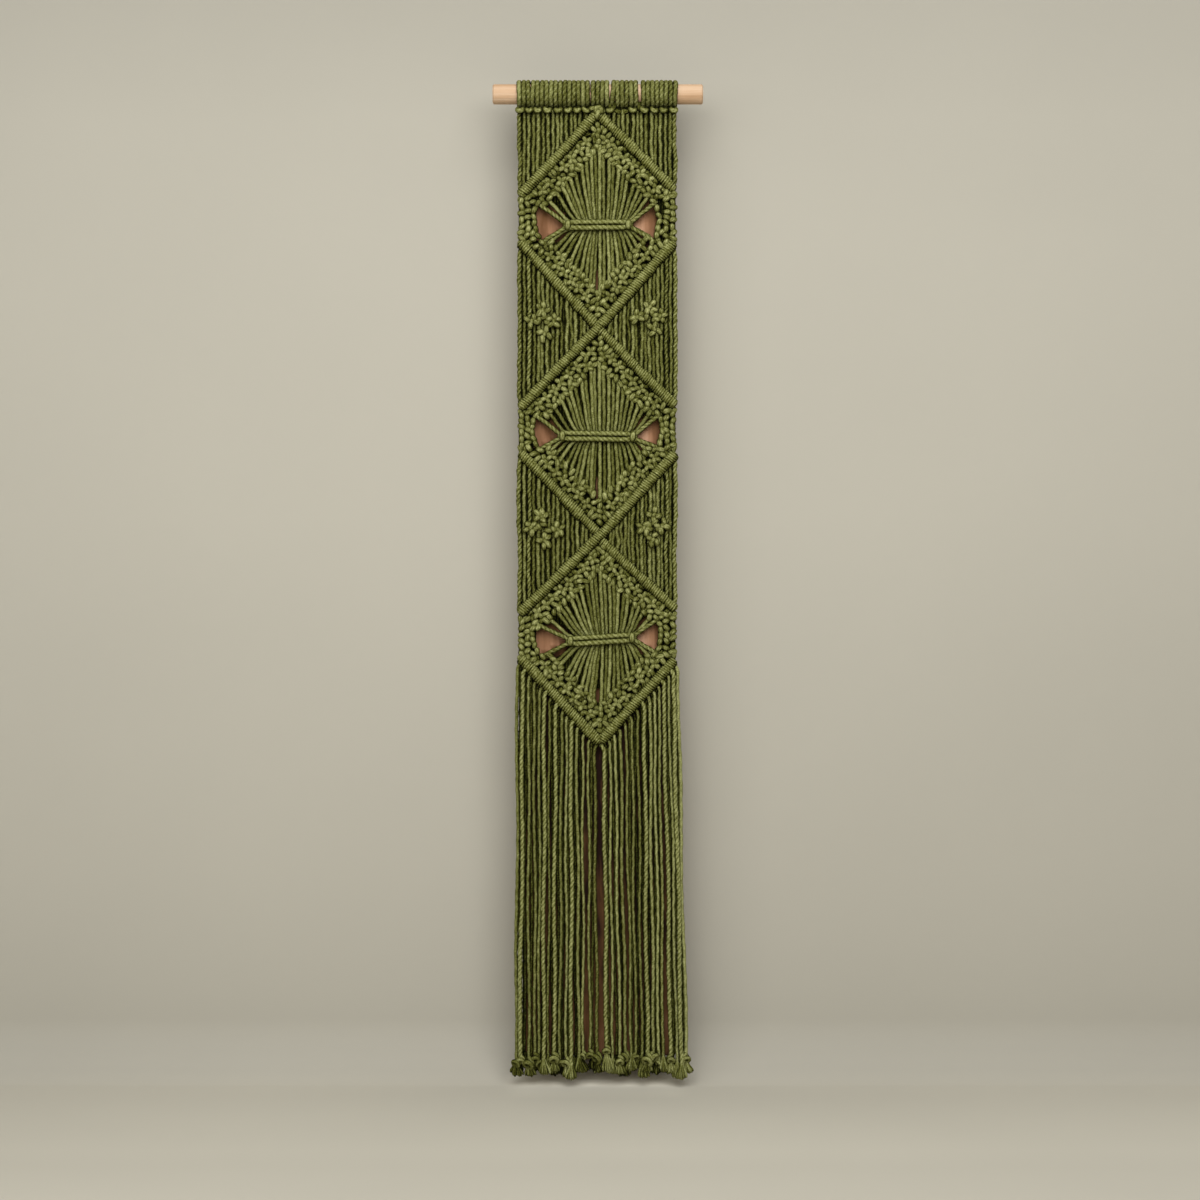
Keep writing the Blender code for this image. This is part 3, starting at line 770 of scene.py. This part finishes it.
def makeBands(cotton, diamond):
    skein = Skein(f"{diamond}_knot_band")
    look = bandKnots
    taken = []
    for side, (lower, upper) in enumerate(eyes[diamond]):
        outward = 2 * side - 1
        for share in look["around"]:
            bulge = look["bulge"] * sin(pi * share) ** 0.6 + look["beside"][side] + jitter(0.5)
            x = lower[0] + (upper[0] - lower[0]) * share + outward * bulge
            z = lower[1] + (upper[1] - lower[1]) * share + 5.0 * (share - 0.5)
            turn = radians((share - 0.5) * -70.0 * outward + jitter(30.0))
            scatterLump(skein, taken, x, z, turn, dice.uniform(1.5, 2.5))
    makeColumns(skein, diamond, taken)
    for half, way in (("upper", -1), ("lower", 1)):
        left, right = bars[diamond][half + "Left"], bars[diamond][half + "Right"]
        for drop in look["apex"]:
            x, z = (left[0] + right[0]) / 2 + jitter(1.2), (left[1] + right[1]) / 2 + way * drop
            taken.append((x, z))
            depth = lumpLook["depth"] + jitter(0.8)
            lump(skein, x, depth, z, lean(70.0), 1.8, lumpLook["radius"], jitter(0.08))
    four = [bars[diamond][name] for name in ("upperLeft", "lowerLeft", "upperRight", "lowerRight")]
    for bar in four:
        for row, offset in enumerate(crossKnots["rows"]):
            for x, z, square in placesAlong(bar, offset, row % 2, crossKnots):
                if insidePanel(x, 6.0):
                    scatterCross(skein, taken, diamond, x, z)
    rows = [(offset, False) for offset in look["rows"]] + [(offset, True) for offset in look["behind"]]
    for row, (offset, behind) in enumerate(rows):
        for bar in four:
            for x, z, square in placesAlong(bar, offset, row % 2, look):
                if insideEye(diamond, x, z) or not insidePanel(x, 3.0):
                    continue
                if row == 0 and dice.random() < 0.7:
                    turn, half = square + lean(look["twist"]), dice.uniform(2.0, 3.0)
                else:
                    turn = radians(dice.choice(lumpLook["turns"]) + jitter(look["twist"]))
                    half = dice.uniform(1.4, 2.8)
                scatterLump(skein, taken, x, z, turn, half, behind)
    skein.make(cotton)


columnKnots = {
    "insets": (4.7, 10.8, 15.6),  # the last only where there's room
    "corner": (3.4, 8.0),  # lumps that close the gap between a bar's end and its column
    "cornerDrop": 3.2,
    "pitch": 6.3,
    "clear": 7.5,  # from a bar's corner to its column
    "turns": (0.0, 24.0, -24.0, 50.0, -50.0, 85.0),
}


def makeColumns(skein, diamond, taken):
    # upright rows of lumps at the panel's edges, beside the eyes
    look = columnKnots
    for side, (edge, outward) in flanks.items():
        top = bars[diamond]["upper" + side][3] - look["clear"]
        foot = bars[diamond]["lower" + side][3] + look["clear"]
        count = round((top - foot) / look["pitch"]) + 1
        for column, inset in enumerate(look["insets"]):
            for k in range(count + column % 2):
                x = edge - outward * (inset + jitter(0.9 if column else 0.4))
                z = top + (foot - top) * (k - 0.5 * (column % 2)) / (count - 1) + jitter(0.8)
                turn = radians(dice.choice(look["turns"]) + jitter(12.0))
                if column == 2:
                    scatterLump(skein, taken, x, z, turn, dice.uniform(1.5, 2.3))
                    continue
                taken.append((x, z))
                radius, depth = lumpLook["radius"] + 0.1 + jitter(0.2), lumpLook["depth"] + jitter(0.9)
                lump(skein, x, depth, z, turn, dice.uniform(1.8, 2.5), radius, jitter(0.09))
        for inset in look["corner"]:
            for z in (top + look["cornerDrop"], foot - look["cornerDrop"]):
                lump(skein, edge - outward * inset, -5.0, z, lean(40.0), 2.0, 2.7, -0.06)


fillers = {
    "pitch": 2.9,
    "radius": 1.6,
    "depth": -1.5,
    "tone": -0.5,
    "column": 4.0,  # from the middle of an eye's outer side to the dark cords beside it
    "tip": 5.0,  # from a tie's knot inwards to where the cloth starts to show
    "slits": 8.0,  # how far past the tie's cords the cloth shows between the fan's cords
    "slitHalf": 2.4,  # half the width of the slit in the fan's middle
    "step": 300.0,
}


def makeFillers(cotton):
    # cords painted dark as shade in the thickness of the knots, so that no cloth shows between the lumps
    skein = Skein("shade_filler_cords")
    look = fillers
    x = layout["bodyLeft"] + 3.0
    while x < layout["bodyRight"] - 2.5:
        side = 0 if x < 1.5 else 1
        outward = 2 * side - 1
        runs = [-10.0]
        for diamond in bars:
            lower, upper = eyes[diamond][side]
            tieX, tieZ = ties[diamond][side]
            tipX = tieX - look["tip"] * outward
            columnX = (lower[0] + upper[0]) / 2 + (look["column"] + bandKnots["beside"][side]) * outward
            if abs(x - fanLook["slit"]) < look["slitHalf"]:
                runs += slits[diamond]
            share = (x - tipX) / (columnX - tipX)
            if 0.0 < share < 1.0:
                wide = min(1.0, 1.3 * share)
                slit = look["slits"] * min(1.0, 4.0 * share) if share < 0.75 else 0.0
                runs += [tieZ + (upper[1] - tieZ) * wide + slit, tieZ + (lower[1] - tieZ) * wide - slit]
        lastBar = bars["third"]["lowerRight" if side else "lowerLeft"]
        runs.append(barHeight(lastBar, x) - 1.0)
        for ends in zip(runs[::2], runs[1::2]):
            points = [(x, look["depth"], z) for z in ends]
            skein.plain(points, look["radius"], look["step"], 6, look["tone"], 0.0)
        x += look["pitch"]
    skein.make(cotton)


barLook = {
    "ridge": (2.2, 2.65),  # shortest and longest ridge of one wrapped cord
    "ridgeHeight": 0.4,
    "bundle": 4,  # ridges between two deeper steps
    "step": 0.5,
    "sides": 20,
    "ring": 0.42,
    "slant": 0.15,
    "reachOn": 3.4,  # how far a bar runs on past its inner end
    "paintedCrestHighlight": 0.13,  # painted highlight: how much brighter the top of a ridge is
    "groove": 0.27,  # painted shade: how much darker the furrow beside it is
    "under": 0.45,  # painted shade: how much darker its underside is, turned from the light above
    "tone": -0.06,
}


def drawRidges(length, uneven):
    # where each ridge of a bar starts, how far it stands out and how dark the painted shade in its furrow is
    look = barLook
    starts, lifts, deep = [-6.0], [], []
    while starts[-1] < length + 6.0:
        if len(lifts) % look["bundle"] == 0:
            lift = jitter(look["step"] * uneven)
        lifts.append(lift)
        deep.append(1.4 if len(lifts) % look["bundle"] == 1 else dice.uniform(0.6, 1.2))
        starts.append(starts[-1] + dice.uniform(*look["ridge"]))
    return np.array(starts), np.array(lifts), np.array(deep)


def makeBars(cotton):
    skein = Skein("hitched_bars")
    look, radius = barLook, layout["barRadius"]
    around = np.arange(look["sides"]) * 2 * pi / look["sides"]
    for bar in [bar for four in bars.values() for bar in four.values()]:
        # the corner end reaches the outermost cord
        endX = min(bar[2], layout["bodyLeft"] + 2.5) if bar[2] < 0 else max(bar[2], layout["bodyRight"] - 2.5)
        endZ = barHeight(bar, endX)
        alongX, alongZ = unit(endX - bar[0], endZ - bar[1])
        startX, startZ = bar[0] - alongX * look["reachOn"], bar[1] - alongZ * look["reachOn"]
        length = hypot(endX - startX, endZ - startZ)
        falling = alongX * alongZ < 0
        share = np.linspace(0.0, 1.0, int(length / look["ring"]))
        starts, lifts, deep = drawRidges(length, 1.5 if falling else 1.0)
        wave = share * 6.0 + dice.uniform(0.0, 6.0)
        x = startX + (endX - startX) * share
        y = layout["barDepth"] - (0.0 if falling else 0.9) + 0.35 * np.sin(wave * 2.3)
        z = startZ + (endZ - startZ) * share + 0.4 * np.sin(wave)
        way = (share * length)[:, None] + look["slant"] * radius * np.cos(around)[None, :]
        ridge = np.clip(np.searchsorted(starts, way) - 1, 0, len(lifts) - 1)
        within = (way - starts[ridge]) / (starts[ridge + 1] - starts[ridge])
        fine = 0.5 - 0.5 * np.cos(2.0 * pi * np.clip(within, 0.0, 1.0))
        radii = radius + look["ridgeHeight"] * (fine - 0.6) + lifts[ridge]
        radii = radii * rounding(share * length, 3.6, 0.15)[:, None]
        groove = deep[np.where(within < 0.5, ridge, np.clip(ridge + 1, 0, len(deep) - 1))]
        # painted shade in the furrows and on the underside, painted highlight on the crests
        shade = look["groove"] * groove * (1.0 - fine) - look["paintedCrestHighlight"] * fine
        shade += look["under"] * np.clip(-np.cos(around) * alongX, 0.0, 1.0)[None, :]
        path = np.stack([x, y, z], axis=1)
        skein.tube(path, radii, [1.0] * look["sides"], 0.0, look["tone"], furrow=shade, rim="bar")
    skein.make(cotton)


# A fan's front cords, from the diamond's middle line: x at the knots and x at the tie.
fanCords = (
    (-49.6, -28.0), (-43.2, -22.5), (-38.0, -18.2), (-33.0, -15.4), (-28.0, -12.8), (-23.0, -10.0),
    (-17.8, -7.1), (-12.6, -5.0), (-8.0, -3.2), (-3.8, -0.9), (0.9, 2.0), (5.6, 6.0), (10.2, 9.6),
    (14.8, 12.8), (19.8, 15.8), (25.0, 18.6), (30.2, 21.4), (35.6, 24.8), (40.3, 27.2),
    (44.6, 28.2), (50.6, 31.2),
)
fanLook = {
    "narrow": 0.93,
    "root": 33.0,  # straight down from the bar's axis to the fan's first knots
    "depth": -6.0,
    "behind": 2.4,  # how much deeper every second cord passes the tie
    "radius": 2.3,
    "taper": 0.82,
    "slit": -1.0,  # where the two middle cords part below the tie
    "part": {9: -1.3, 10: 1.3},  # and how far each of them stands off
    "tieWidth": 60.3,  # the tie's length that the cords' places are given for
}


def makeFan(cotton, diamond):
    skein = Skein(f"{diamond}_fan")
    look = fanLook
    (leftX, leftZ), (rightX, rightZ) = ties[diamond]
    wide = look["narrow"] * (rightX - leftX) / look["tieWidth"]
    for half, way in (("upper", 1), ("lower", -1)):
        for k, (rootOff, tieOff) in enumerate(fanCords):
            tieX = (leftX + rightX) / 2 + tieOff * wide + jitter(0.3)
            tieZ = leftZ + (tieX - leftX) * (rightZ - leftZ) / (rightX - leftX)
            rootX = 0.5 + rootOff + jitter(0.9)
            if half == "lower":
                rootX += look["part"].get(k, 0.0)
            bar = bars[diamond][half + ("Left" if rootX < 0.5 else "Right")]
            rootZ = barHeight(bar, rootX) - way * (look["root"] + jitter(2.0))
            back = look["behind"] * (k % 2)
            depth = look["depth"] + 0.4 * back + jitter(0.3)
            bow = copysign(0.6 * min(abs(rootOff) / 12.0, 1.0), rootOff)
            acrossX, acrossZ = tieX - rootX, tieZ - rootZ
            points = [
                (rootX, depth + 2.2, rootZ + way * 4.0),
                (rootX, depth, rootZ + way * 1.0),
                (rootX + acrossX * 0.35 + bow, depth, rootZ + acrossZ * 0.32),
                (rootX + acrossX * 0.75 + bow, depth + 0.3 + back * 0.5, rootZ + acrossZ * 0.72),
                (tieX, depth + 0.6 + back * 0.6, tieZ + way * 2.0),
                (tieX, depth + 0.8 + back * 0.6, tieZ - way * 2.5),
            ]
            # painted shade: every second cord, passing further back, is darker
            tone, lobe = jitter(0.09) - 0.05 * back, dice.uniform(0.0, 0.05)
            skein.cord(points, look["radius"] + jitter(0.15), lobe, 12, tone, rough=0.6, taper=look["taper"])
    makeTie(skein, diamond)
    skein.make(cotton)


tieLook = {
    "spacing": 5.5,
    "cord": 2.95,
    "eyeCord": 2.45,
    "depth": -9.8,
}


def makeTie(skein, diamond):
    look, depth = tieLook, tieLook["depth"]
    (leftX, leftZ), (rightX, rightZ) = ties[diamond]
    for dz in (look["spacing"] / 2, -look["spacing"] / 2):
        points = [
            (leftX + 1.0, depth + 2.0, leftZ + dz * 0.8),
            (leftX + 6.0, depth, leftZ + dz + 0.1),
            ((leftX + rightX) / 2, depth - 0.2, (leftZ + rightZ) / 2 + dz),
            (rightX - 6.0, depth, rightZ + dz - 0.1),
            (rightX - 1.0, depth + 2.0, rightZ + dz * 0.8),
        ]
        skein.cord(points, look["cord"], tone=0.1, rough=0.5)
    for side, (x, z) in enumerate(ties[diamond]):
        outward = 2 * side - 1
        lump(skein, x, depth - 1.0, z, lean(10), 3.0, 3.0, 0.08)
        lump(skein, x + outward * 0.6, depth + 2.6, z, radians(90), 2.4, 2.7, 0.0)
        for (farX, farZ), way in zip(eyes[diamond][side], (-1, 1)):
            points = [
                (farX + outward * 3.2, -4.4, farZ + way * 2.6),
                (farX, -6.8, farZ),
                ((x + farX) / 2, -7.4, (z + farZ) / 2 + way * 0.5),
                (x + outward * 3.0, -7.8, z + way * 2.6),
                (x, -7.8, z + way * 1.4),
            ]
            skein.cord(points, look["eyeCord"], tone=0.04, rough=0.5)


plainLook = {
    "cords": 34,  # across the panel under the dowel
    "sideCords": 17,  # on each side between two diamonds
    "edge": 2.6,
    "inner": 6.0,
    "depth": -5.2,
    "sideDepth": -5.0,
    "bold": 2.4,
    "radius": 2.2,
    "low": (0.25, 1.3, 0.1),  # every second cord: how much thinner, further back and darker, the darkness being painted shade
}


def plainCord(skein, points, radius, low, bold, loose):
    # bold ones show their ply
    lobe = 0.15 if bold else 0.02 + dice.uniform(0.0, loose)
    skein.cord(points, radius, lobe, 12 if bold else 9, 0.03 - plainLook["low"][2] * low + jitter(0.09))


def makeHeadingCords(cotton):
    skein = Skein("heading_cords")
    look, last = plainLook, plainLook["cords"] - 1
    thinner, further = look["low"][:2]
    pitch = (layout["bodyRight"] - layout["bodyLeft"]) / look["cords"]
    for k in range(look["cords"]):
        x = layout["bodyLeft"] + pitch * (k + 0.5) + jitter(0.5)
        outermost = k in (0, last)
        if outermost:
            x = layout["bodyRight"] - look["edge"] if k else layout["bodyLeft"] + look["edge"]
        bar = bars["first"]["upperLeft" if x < 0.4 else "upperRight"]
        foot = max(barHeight(bar, x), bar[3] + 1.0)
        low = k % 2 and not outermost
        radius = look["bold"] if outermost else look["radius"] - thinner * low + jitter(0.18)
        depth = look["depth"] + further * low + jitter(0.7)
        points = [(x, depth + 1.5, -15.5)]
        if foot < -34.0:
            for share in (0.35, 0.7):
                points.append((x + jitter(0.7), depth, -16.0 + (foot + 16.0) * share))
            points.append((x, depth, foot + 7.5))
        points.append((x + (1.2 if x < 0 else -1.2), depth + 1.6, foot + 2.0))
        plainCord(skein, points, radius, low, outermost, 0.1)
    skein.make(cotton)


def makeSideCords(cotton):
    skein = Skein("side_cords")
    look = plainLook
    thinner, further = look["low"][:2]
    for above, below in (("first", "second"), ("second", "third")):
        for side, (edge, outward) in flanks.items():
            upper, lower = bars[above]["lower" + side], bars[below]["upper" + side]
            outer, inner = edge - outward * look["edge"], lower[0] + outward * look["inner"]
            for k in range(look["sideCords"]):
                x = outer + (inner - outer) * k / (look["sideCords"] - 1) + (jitter(0.6) if k else 0.0)
                top = min(barHeight(upper, x), upper[3] - 1.0)
                foot = max(barHeight(lower, x), lower[3] + 1.0)
                span, low = top - foot, k % 2
                depth = look["sideDepth"] + further * low + jitter(0.6)
                points = [(x - outward * 1.6, depth + 2.0, top)]
                if span > 26.0:
                    points.append((x, depth, top - 9.0))
                    for share in (0.38, 0.64):
                        points.append((x + jitter(1.0), depth, top - span * share))
                    points.append((x, depth, foot + 8.0))
                elif span > 8.0:
                    points.append((x + outward * 1.6, depth, top - span * 0.5))
                points.append((x - outward * 1.4, depth + 1.8, foot + 1.0))
                radius = look["radius"] - thinner * low + jitter(0.18) if k else look["bold"]
                plainCord(skein, points, radius, low, k in (0, 2), 0.08)
    skein.make(cotton)


# Four-knot lozenges, each knot by its own place (x, z).
lozenges = (
    ((-54.8, -216.6), (-65.8, -227.6), (-43.8, -227.6), (-52.8, -240.6)),
    ((52.2, -213.6), (39.2, -223.6), (62.2, -222.6), (56.2, -235.6)),
    ((-56.8, -421.6), (-66.8, -433.6), (-39.8, -435.6), (-52.8, -446.6)),
    ((56.2, -420.6), (46.2, -433.6), (64.2, -431.6), (55.2, -445.6)),
)


lozengeLook = {
    "petals": (4, 5, 5),
    "reach": 4.6,
    "half": 2.0,
    "depth": -8.0,
    "cord": 2.95,
    "middle": ((-4.2, 1.2), (4.4, -1.4), (0.6, 4.6)),  # lumps between the four knots
}


def makeLozenges(cotton):
    skein = Skein("lozenge_knots")
    look = lozengeLook
    for four in lozenges:
        for x, z in four:
            spin = dice.uniform(0.0, 1.0)
            count = dice.choice(look["petals"])
            for petal in range(count):
                angle = spin + petal * 2 * pi / count + jitter(0.25)
                reach, half = look["reach"] + jitter(0.5), look["half"] + jitter(0.6)
                px, pz = x + reach * sin(angle), z + reach * cos(angle)
                turn, radius = angle + jitter(0.8), look["cord"] + jitter(0.3)
                lump(skein, px, look["depth"] + jitter(0.8), pz, turn, half, radius, 0.02 + jitter(0.1))
            lump(skein, x, look["depth"] - 1.0, z, lean(60.0), 1.2, 2.3, 0.03)
        middleX, middleZ = sum(x for x, z in four) / 4, sum(z for x, z in four) / 4
        for dx, dz in look["middle"]:
            turn = lean(80.0)
            lump(skein, middleX + dx + jitter(0.8), -7.4, middleZ + dz + jitter(0.8), turn, 2.2, 2.8, -0.03)
    skein.make(cotton)


# The fringe's front cords: x where each leaves the last bars, x at its end, how it
# ends, and the height of that knot or neck.
fringe = (
    (-80.0, -81.2, "both", -966.0), (-74.6, -77.2, "small", -964.0), (-69.2, -69.0, "both", -966.0),
    (-63.6, -62.4, "knot", -963.0), (-58.0, -58.6, "small", -966.0), (-53.4, -54.0, "tuft", -966.0),
    (-48.2, -49.6, "tuft", -963.0), (-42.4, -43.6, "both", -962.0), (-36.0, -38.0, "small", -968.0),
    (-31.4, -31.6, "both", -968.0), (-26.4, -26.4, "tuft", -971.0), (-21.0, -18.6, "tuft", -965.0),
    (-15.0, -14.6, "small", -962.0), (-9.4, -7.8, "knot", -959.5), (-3.6, -0.8, "both", -963.0),
    (6.4, 8.8, "long", -953.0), (12.0, 14.8, "tuft", -966.0), (17.2, 22.0, "both", -964.0),
    (22.4, 27.6, "knot", -960.0), (28.0, 33.4, "tuft", -963.0), (33.8, 38.0, "small", -962.0),
    (40.0, 44.0, "tuft", -970.0), (46.4, 49.6, "both", -962.0), (51.8, 55.6, "knot", -962.0),
    (56.8, 61.0, "small", -969.0), (61.4, 65.4, "tuft", -964.0), (66.0, 73.0, "both", -963.0),
    (71.0, 79.0, "tuft", -970.0), (75.4, 83.6, "tuft", -971.0), (79.4, 88.0, "both", -963.0),
)
fringeLook = {
    "bold": (1, 5, 7, 10, 15, 22, 26, 28),  # rows with a thick, strongly twisted cord at the front
    "boldDepth": -8.6,
    "boldCord": 2.4,
    "frontDepth": -6.2,
    "cord": 1.85,
    "open": (5, 12, 14, 18, 25),  # rows with no cord behind, where the cloth shows
    "backDepth": -3.2,
    "backCord": 1.75,
    "backEnd": -962.0,
    "sway": 0.9,
    "shoulder": 5.2,  # from where a cord leaves the bar to where it hangs
    # cords behind, at the cloth's edges
    "edges": ((-77.6, -78.4), (-73.6, -74.2), (72.8, 76.6), (77.6, 85.0)),
}


def hangingCord(skein, topX, endX, depth, endZ, radius, lobe, tone, sides=6):
    left = topX < 1.8
    bar, outward = bars["third"]["lowerLeft" if left else "lowerRight"], -1 if left else 1
    rootX = topX - outward * fringeLook["shoulder"]
    rootZ = min(barHeight(bar, rootX), bar[3])
    top, lowest = rootZ - 8.6, endZ + 6.0
    points = [
        (rootX + outward * 1.6, -4.4, rootZ - 1.8),
        (rootX + outward * 4.3, min(depth, -5.6), rootZ - 4.7),
        (topX, depth, top),
        (topX, depth, top - 7.0),
    ]
    phase = dice.uniform(0.0, 6.28)
    for share in (0.12, 0.26, 0.42, 0.58, 0.74, 0.9):
        x = topX + (endX - topX) * share + fringeLook["sway"] * sin(phase + share * 11.0)
        y = depth + 0.7 * sin(phase * 2 + share * 9.0)
        points.append((x, y, top + (lowest - top) * share))
    points += [(endX, depth, lowest), (endX, depth, endZ)]
    skein.cord(points, radius, lobe, sides, tone, rough=0.65)


overhand = (
    (0.0, 0.0, 6.0), (1.9, -2.2, 3.4), (3.6, -1.4, -0.4), (1.2, 1.8, -3.4), (-2.9, 0.8, -2.4),
    (-3.5, -2.2, 1.0), (0.2, -4.2, 1.2), (2.8, -2.6, -2.2), (1.2, -0.6, -5.6),
)


def endKnot(skein, x, y, z, tone, size):
    turn = dice.uniform(-0.6, 0.6)
    flip = dice.choice((1, -1))
    cosine, sine = size * cos(turn), size * sin(turn)
    points = []
    for px, py, pz in overhand:
        px *= flip
        points.append((x + px * cosine - pz * sine * 0.4, y + py * size, z + px * sine + pz * cosine))
    skein.plain(points, 2.3 * size, 1.2, 10, tone)


tuftLook = {
    "strands": 14,
    "strand": 1.4,
    "turn": 2.4,  # from one strand to the next
    "width": 5.8,
    "widthBehind": 7.2,
}


def endTuft(skein, x, y, z, tone, reach, width):
    # frayed strands that splay below the neck
    slant, strands, turn = jitter(2.2), tuftLook["strands"], tuftLook["turn"]
    for k in range(strands):
        spread = width * sqrt((k + 0.5) / strands)
        low = z - reach + 0.06 * spread * spread + jitter(0.9)
        across, back = cos(turn * k) * spread, sin(turn * k) * spread * 0.62
        points = [
            (x + across * 0.15, y + back * 0.2, z + 2.0),
            (x + across * 0.35 + slant * 0.2, y + back * 0.5, z - reach * 0.2),
            (x + across * 0.85 + slant * 0.6, y + back * 0.9, z - reach * 0.6),
            (x + across + slant, y + back, low),
        ]
        skein.plain(points, tuftLook["strand"], 2.0, 6, tone + jitter(0.2))


# How each kind of end is knotted: back, up, how much that varies, size, and how much that varies.
knotted = {kind: (0.0, -0.5, 1.5, 1.02, 0.14) for kind in ("knot", "both", "long")}
knotted["small"] = (2.0, 0.0, 2.0, 0.86, 0.1)
# And how it is frayed: back, up, tone beside the cord's, and length.
frayed = {"tuft": (0.0, 2.0, -0.22, 15.0), "both": (1.5, -3.5, -0.24, 12.0), "long": (0.5, -4.0, -0.2, 20.0)}


def makeFringe(cotton):
    halves = {"left": Skein("fringe_left"), "right": Skein("fringe_right")}
    ends = Skein("fringe_ends")
    look = fringeLook
    for k, (topX, endX, tip, endZ) in enumerate(fringe):
        skein = halves["left" if topX < 0 else "right"]
        bold = k in look["bold"]
        depth = look["boldDepth"] if bold else look["frontDepth"] + jitter(0.9)
        radius = look["boldCord"] if bold else look["cord"] + jitter(0.25)
        lobe = 0.12 if bold else 0.04 + dice.uniform(0.0, 0.08)
        # painted light and shade: front cords are lighter than the ones behind, the bold ones lightest
        tone = 0.17 if bold else 0.08 + jitter(0.14)
        hangingCord(skein, topX, endX, depth, endZ, radius, lobe, tone, 12 if bold else 9)
        if tip in knotted:
            back, up, loose, size, varies = knotted[tip]
            z = endZ + up + jitter(loose)
            endKnot(ends, endX, depth + back, z, tone - 0.14, size + jitter(varies))
        if tip in frayed:
            back, up, shade, reach = frayed[tip]
            endTuft(ends, endX, depth + back, endZ + up, tone + shade, reach, tuftLook["width"])
        if k + 1 < len(fringe) and k not in look["open"]:
            nextTop, nextEnd = fringe[k + 1][:2]
            backTop, backEnd = (topX + nextTop) / 2 + jitter(0.8), (endX + nextEnd) / 2 + jitter(1.0)
            # painted shade: the cords and tufts behind are darker
            z, tone = look["backEnd"] + jitter(6.0), -0.28 + jitter(0.14)
            hangingCord(skein, backTop, backEnd, look["backDepth"], z, look["backCord"], 0.06, tone)
            depth, shade = look["backDepth"] + 2.2, jitter(0.1) - 0.42
            endTuft(ends, backEnd, depth, z - 0.5, shade, 14.0, tuftLook["widthBehind"])
    for topX, endX in look["edges"]:
        # painted shade: the cords behind at the cloth's edges are dark
        hangingCord(halves["left" if topX < 0 else "right"], topX, endX, -1.8, -960.0, 2.1, 0.06, -0.4)
    for skein in (halves["left"], halves["right"], ends):
        skein.make(cotton, "fringe")


backing = {
    "left": -75.0,
    "right": 74.0,
    "top": -15.0,
    "bottom": -962.0,
    "front": 0.3,
    "thickness": 1.4,
    "ripple": 0.8,
    "columns": 50,
    "rows": 200,
    "underBarsPaintedShade": 0.62,  # painted shade: how dark it is right under the last bars, where the cords hang closest
    "lower": 0.42,  # and how much less at its foot
    "slits": 0.3,  # painted shade: how dark it is above and below each eye
    "thirdEyesPaintedLight": 0.12,  # painted light: how much brighter it is in the third diamond's eyes
}


def makeBacking(cloth):
    look, rows = backing, backing["rows"]
    share, drop = np.meshgrid(np.linspace(0.0, 1.0, look["columns"] + 1), np.linspace(0.0, 1.0, rows + 1))
    x = look["left"] + (look["right"] - look["left"]) * share
    z = look["top"] + (look["bottom"] - look["top"]) * drop
    z = z + np.where(drop > 0.999, 1.2 * np.sin(share * 40.0), 0.0)
    fold = 0.5 + 0.5 * np.sin(share * 19.0 + 2.0 * np.sin(drop * 6.0))
    y = look["front"] + look["ripple"] * drop * fold
    front = np.stack([x, y, z], axis=2).reshape(-1, 3)
    back = front + np.array([0.0, look["thickness"], 0.0])
    size = len(front)
    grid = np.arange(size).reshape(rows + 1, -1)
    quads = np.stack([grid[:-1, :-1], grid[1:, :-1], grid[1:, 1:], grid[:-1, 1:]], axis=2).reshape(-1, 4)
    rim = np.concatenate([grid[0], grid[1:, -1], grid[-1, -2::-1], grid[-2:0:-1, 0]])
    after = np.roll(rim, -1)
    bands = np.stack([rim, after, size + after, size + rim], axis=1)
    faces = np.concatenate([np.stack([quads, size + quads[:, [0, 3, 2, 1]]], axis=1).reshape(-1, 4), bands])
    mesh = bpy.data.meshes.new("backing_sheet")
    mesh.from_pydata((np.concatenate([front, back]) * mm).tolist(), [], faces.tolist())
    x, z = x.ravel(), z.ravel()
    lastBars = bars["third"]
    under = np.where(x < 1.8, barHeight(lastBars["lowerLeft"], x), barHeight(lastBars["lowerRight"], x))
    depth = (under - z) / (under - look["bottom"])
    # painted shade under the last bars, less towards the foot
    covered = np.where(depth > 0.0, look["underBarsPaintedShade"] - look["lower"] * depth, 0.0)
    for diamond in bars:
        for side in (0, 1):
            wide, foot, top = eyeEdges(diamond, side, x)
            near = (wide > -0.3) & (abs(z - ties[diamond][side][1]) < 45.0)
            rise = np.clip((z - foot - 1.0) / np.maximum(top - foot - 2.0, 1.0), 0.0, 1.0)
            # the light falls in from the left, so a right eye is brightest beside its tie
            lift = (0.85 - np.clip(wide, 0.3, 1.2)) * side + look["thirdEyesPaintedLight"] * (diamond == "third")
            # painted shade, darker towards the top of each eye and in the slits above and below it; the lift
            # is painted light
            shade = np.where((rise > 0.0) & (rise < 1.0), 0.26 * rise**2 - 0.1 - lift, look["slits"])
            covered = np.where(near, shade, covered)
    paint(mesh, "covered", [covered, np.zeros(size)])
    sheet = placePiece("backing_sheet", mesh, cloth, "brown_cloth", "backing_cloth")


print("camera, light and stage")
makeCamera()
makeLights()
makeStage()

print("materials")
cotton = makeCotton()
wood = makeWood()
cloth = makeCloth()
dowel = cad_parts["dowel"]
dowel.data.materials.clear()
dowel.data.materials.append(wood)

print("heading")
makeSleeve(cotton)
makeHeadingKnots(cotton)
makeHeadingCords(cotton)

print("bars and knots")
makeBars(cotton)
for diamond in bars:
    makeBands(cotton, diamond)
    makeFan(cotton, diamond)
makeFillers(cotton)
makeSideCords(cotton)
makeLozenges(cotton)

print("fringe and backing")
makeFringe(cotton)
makeBacking(cloth)
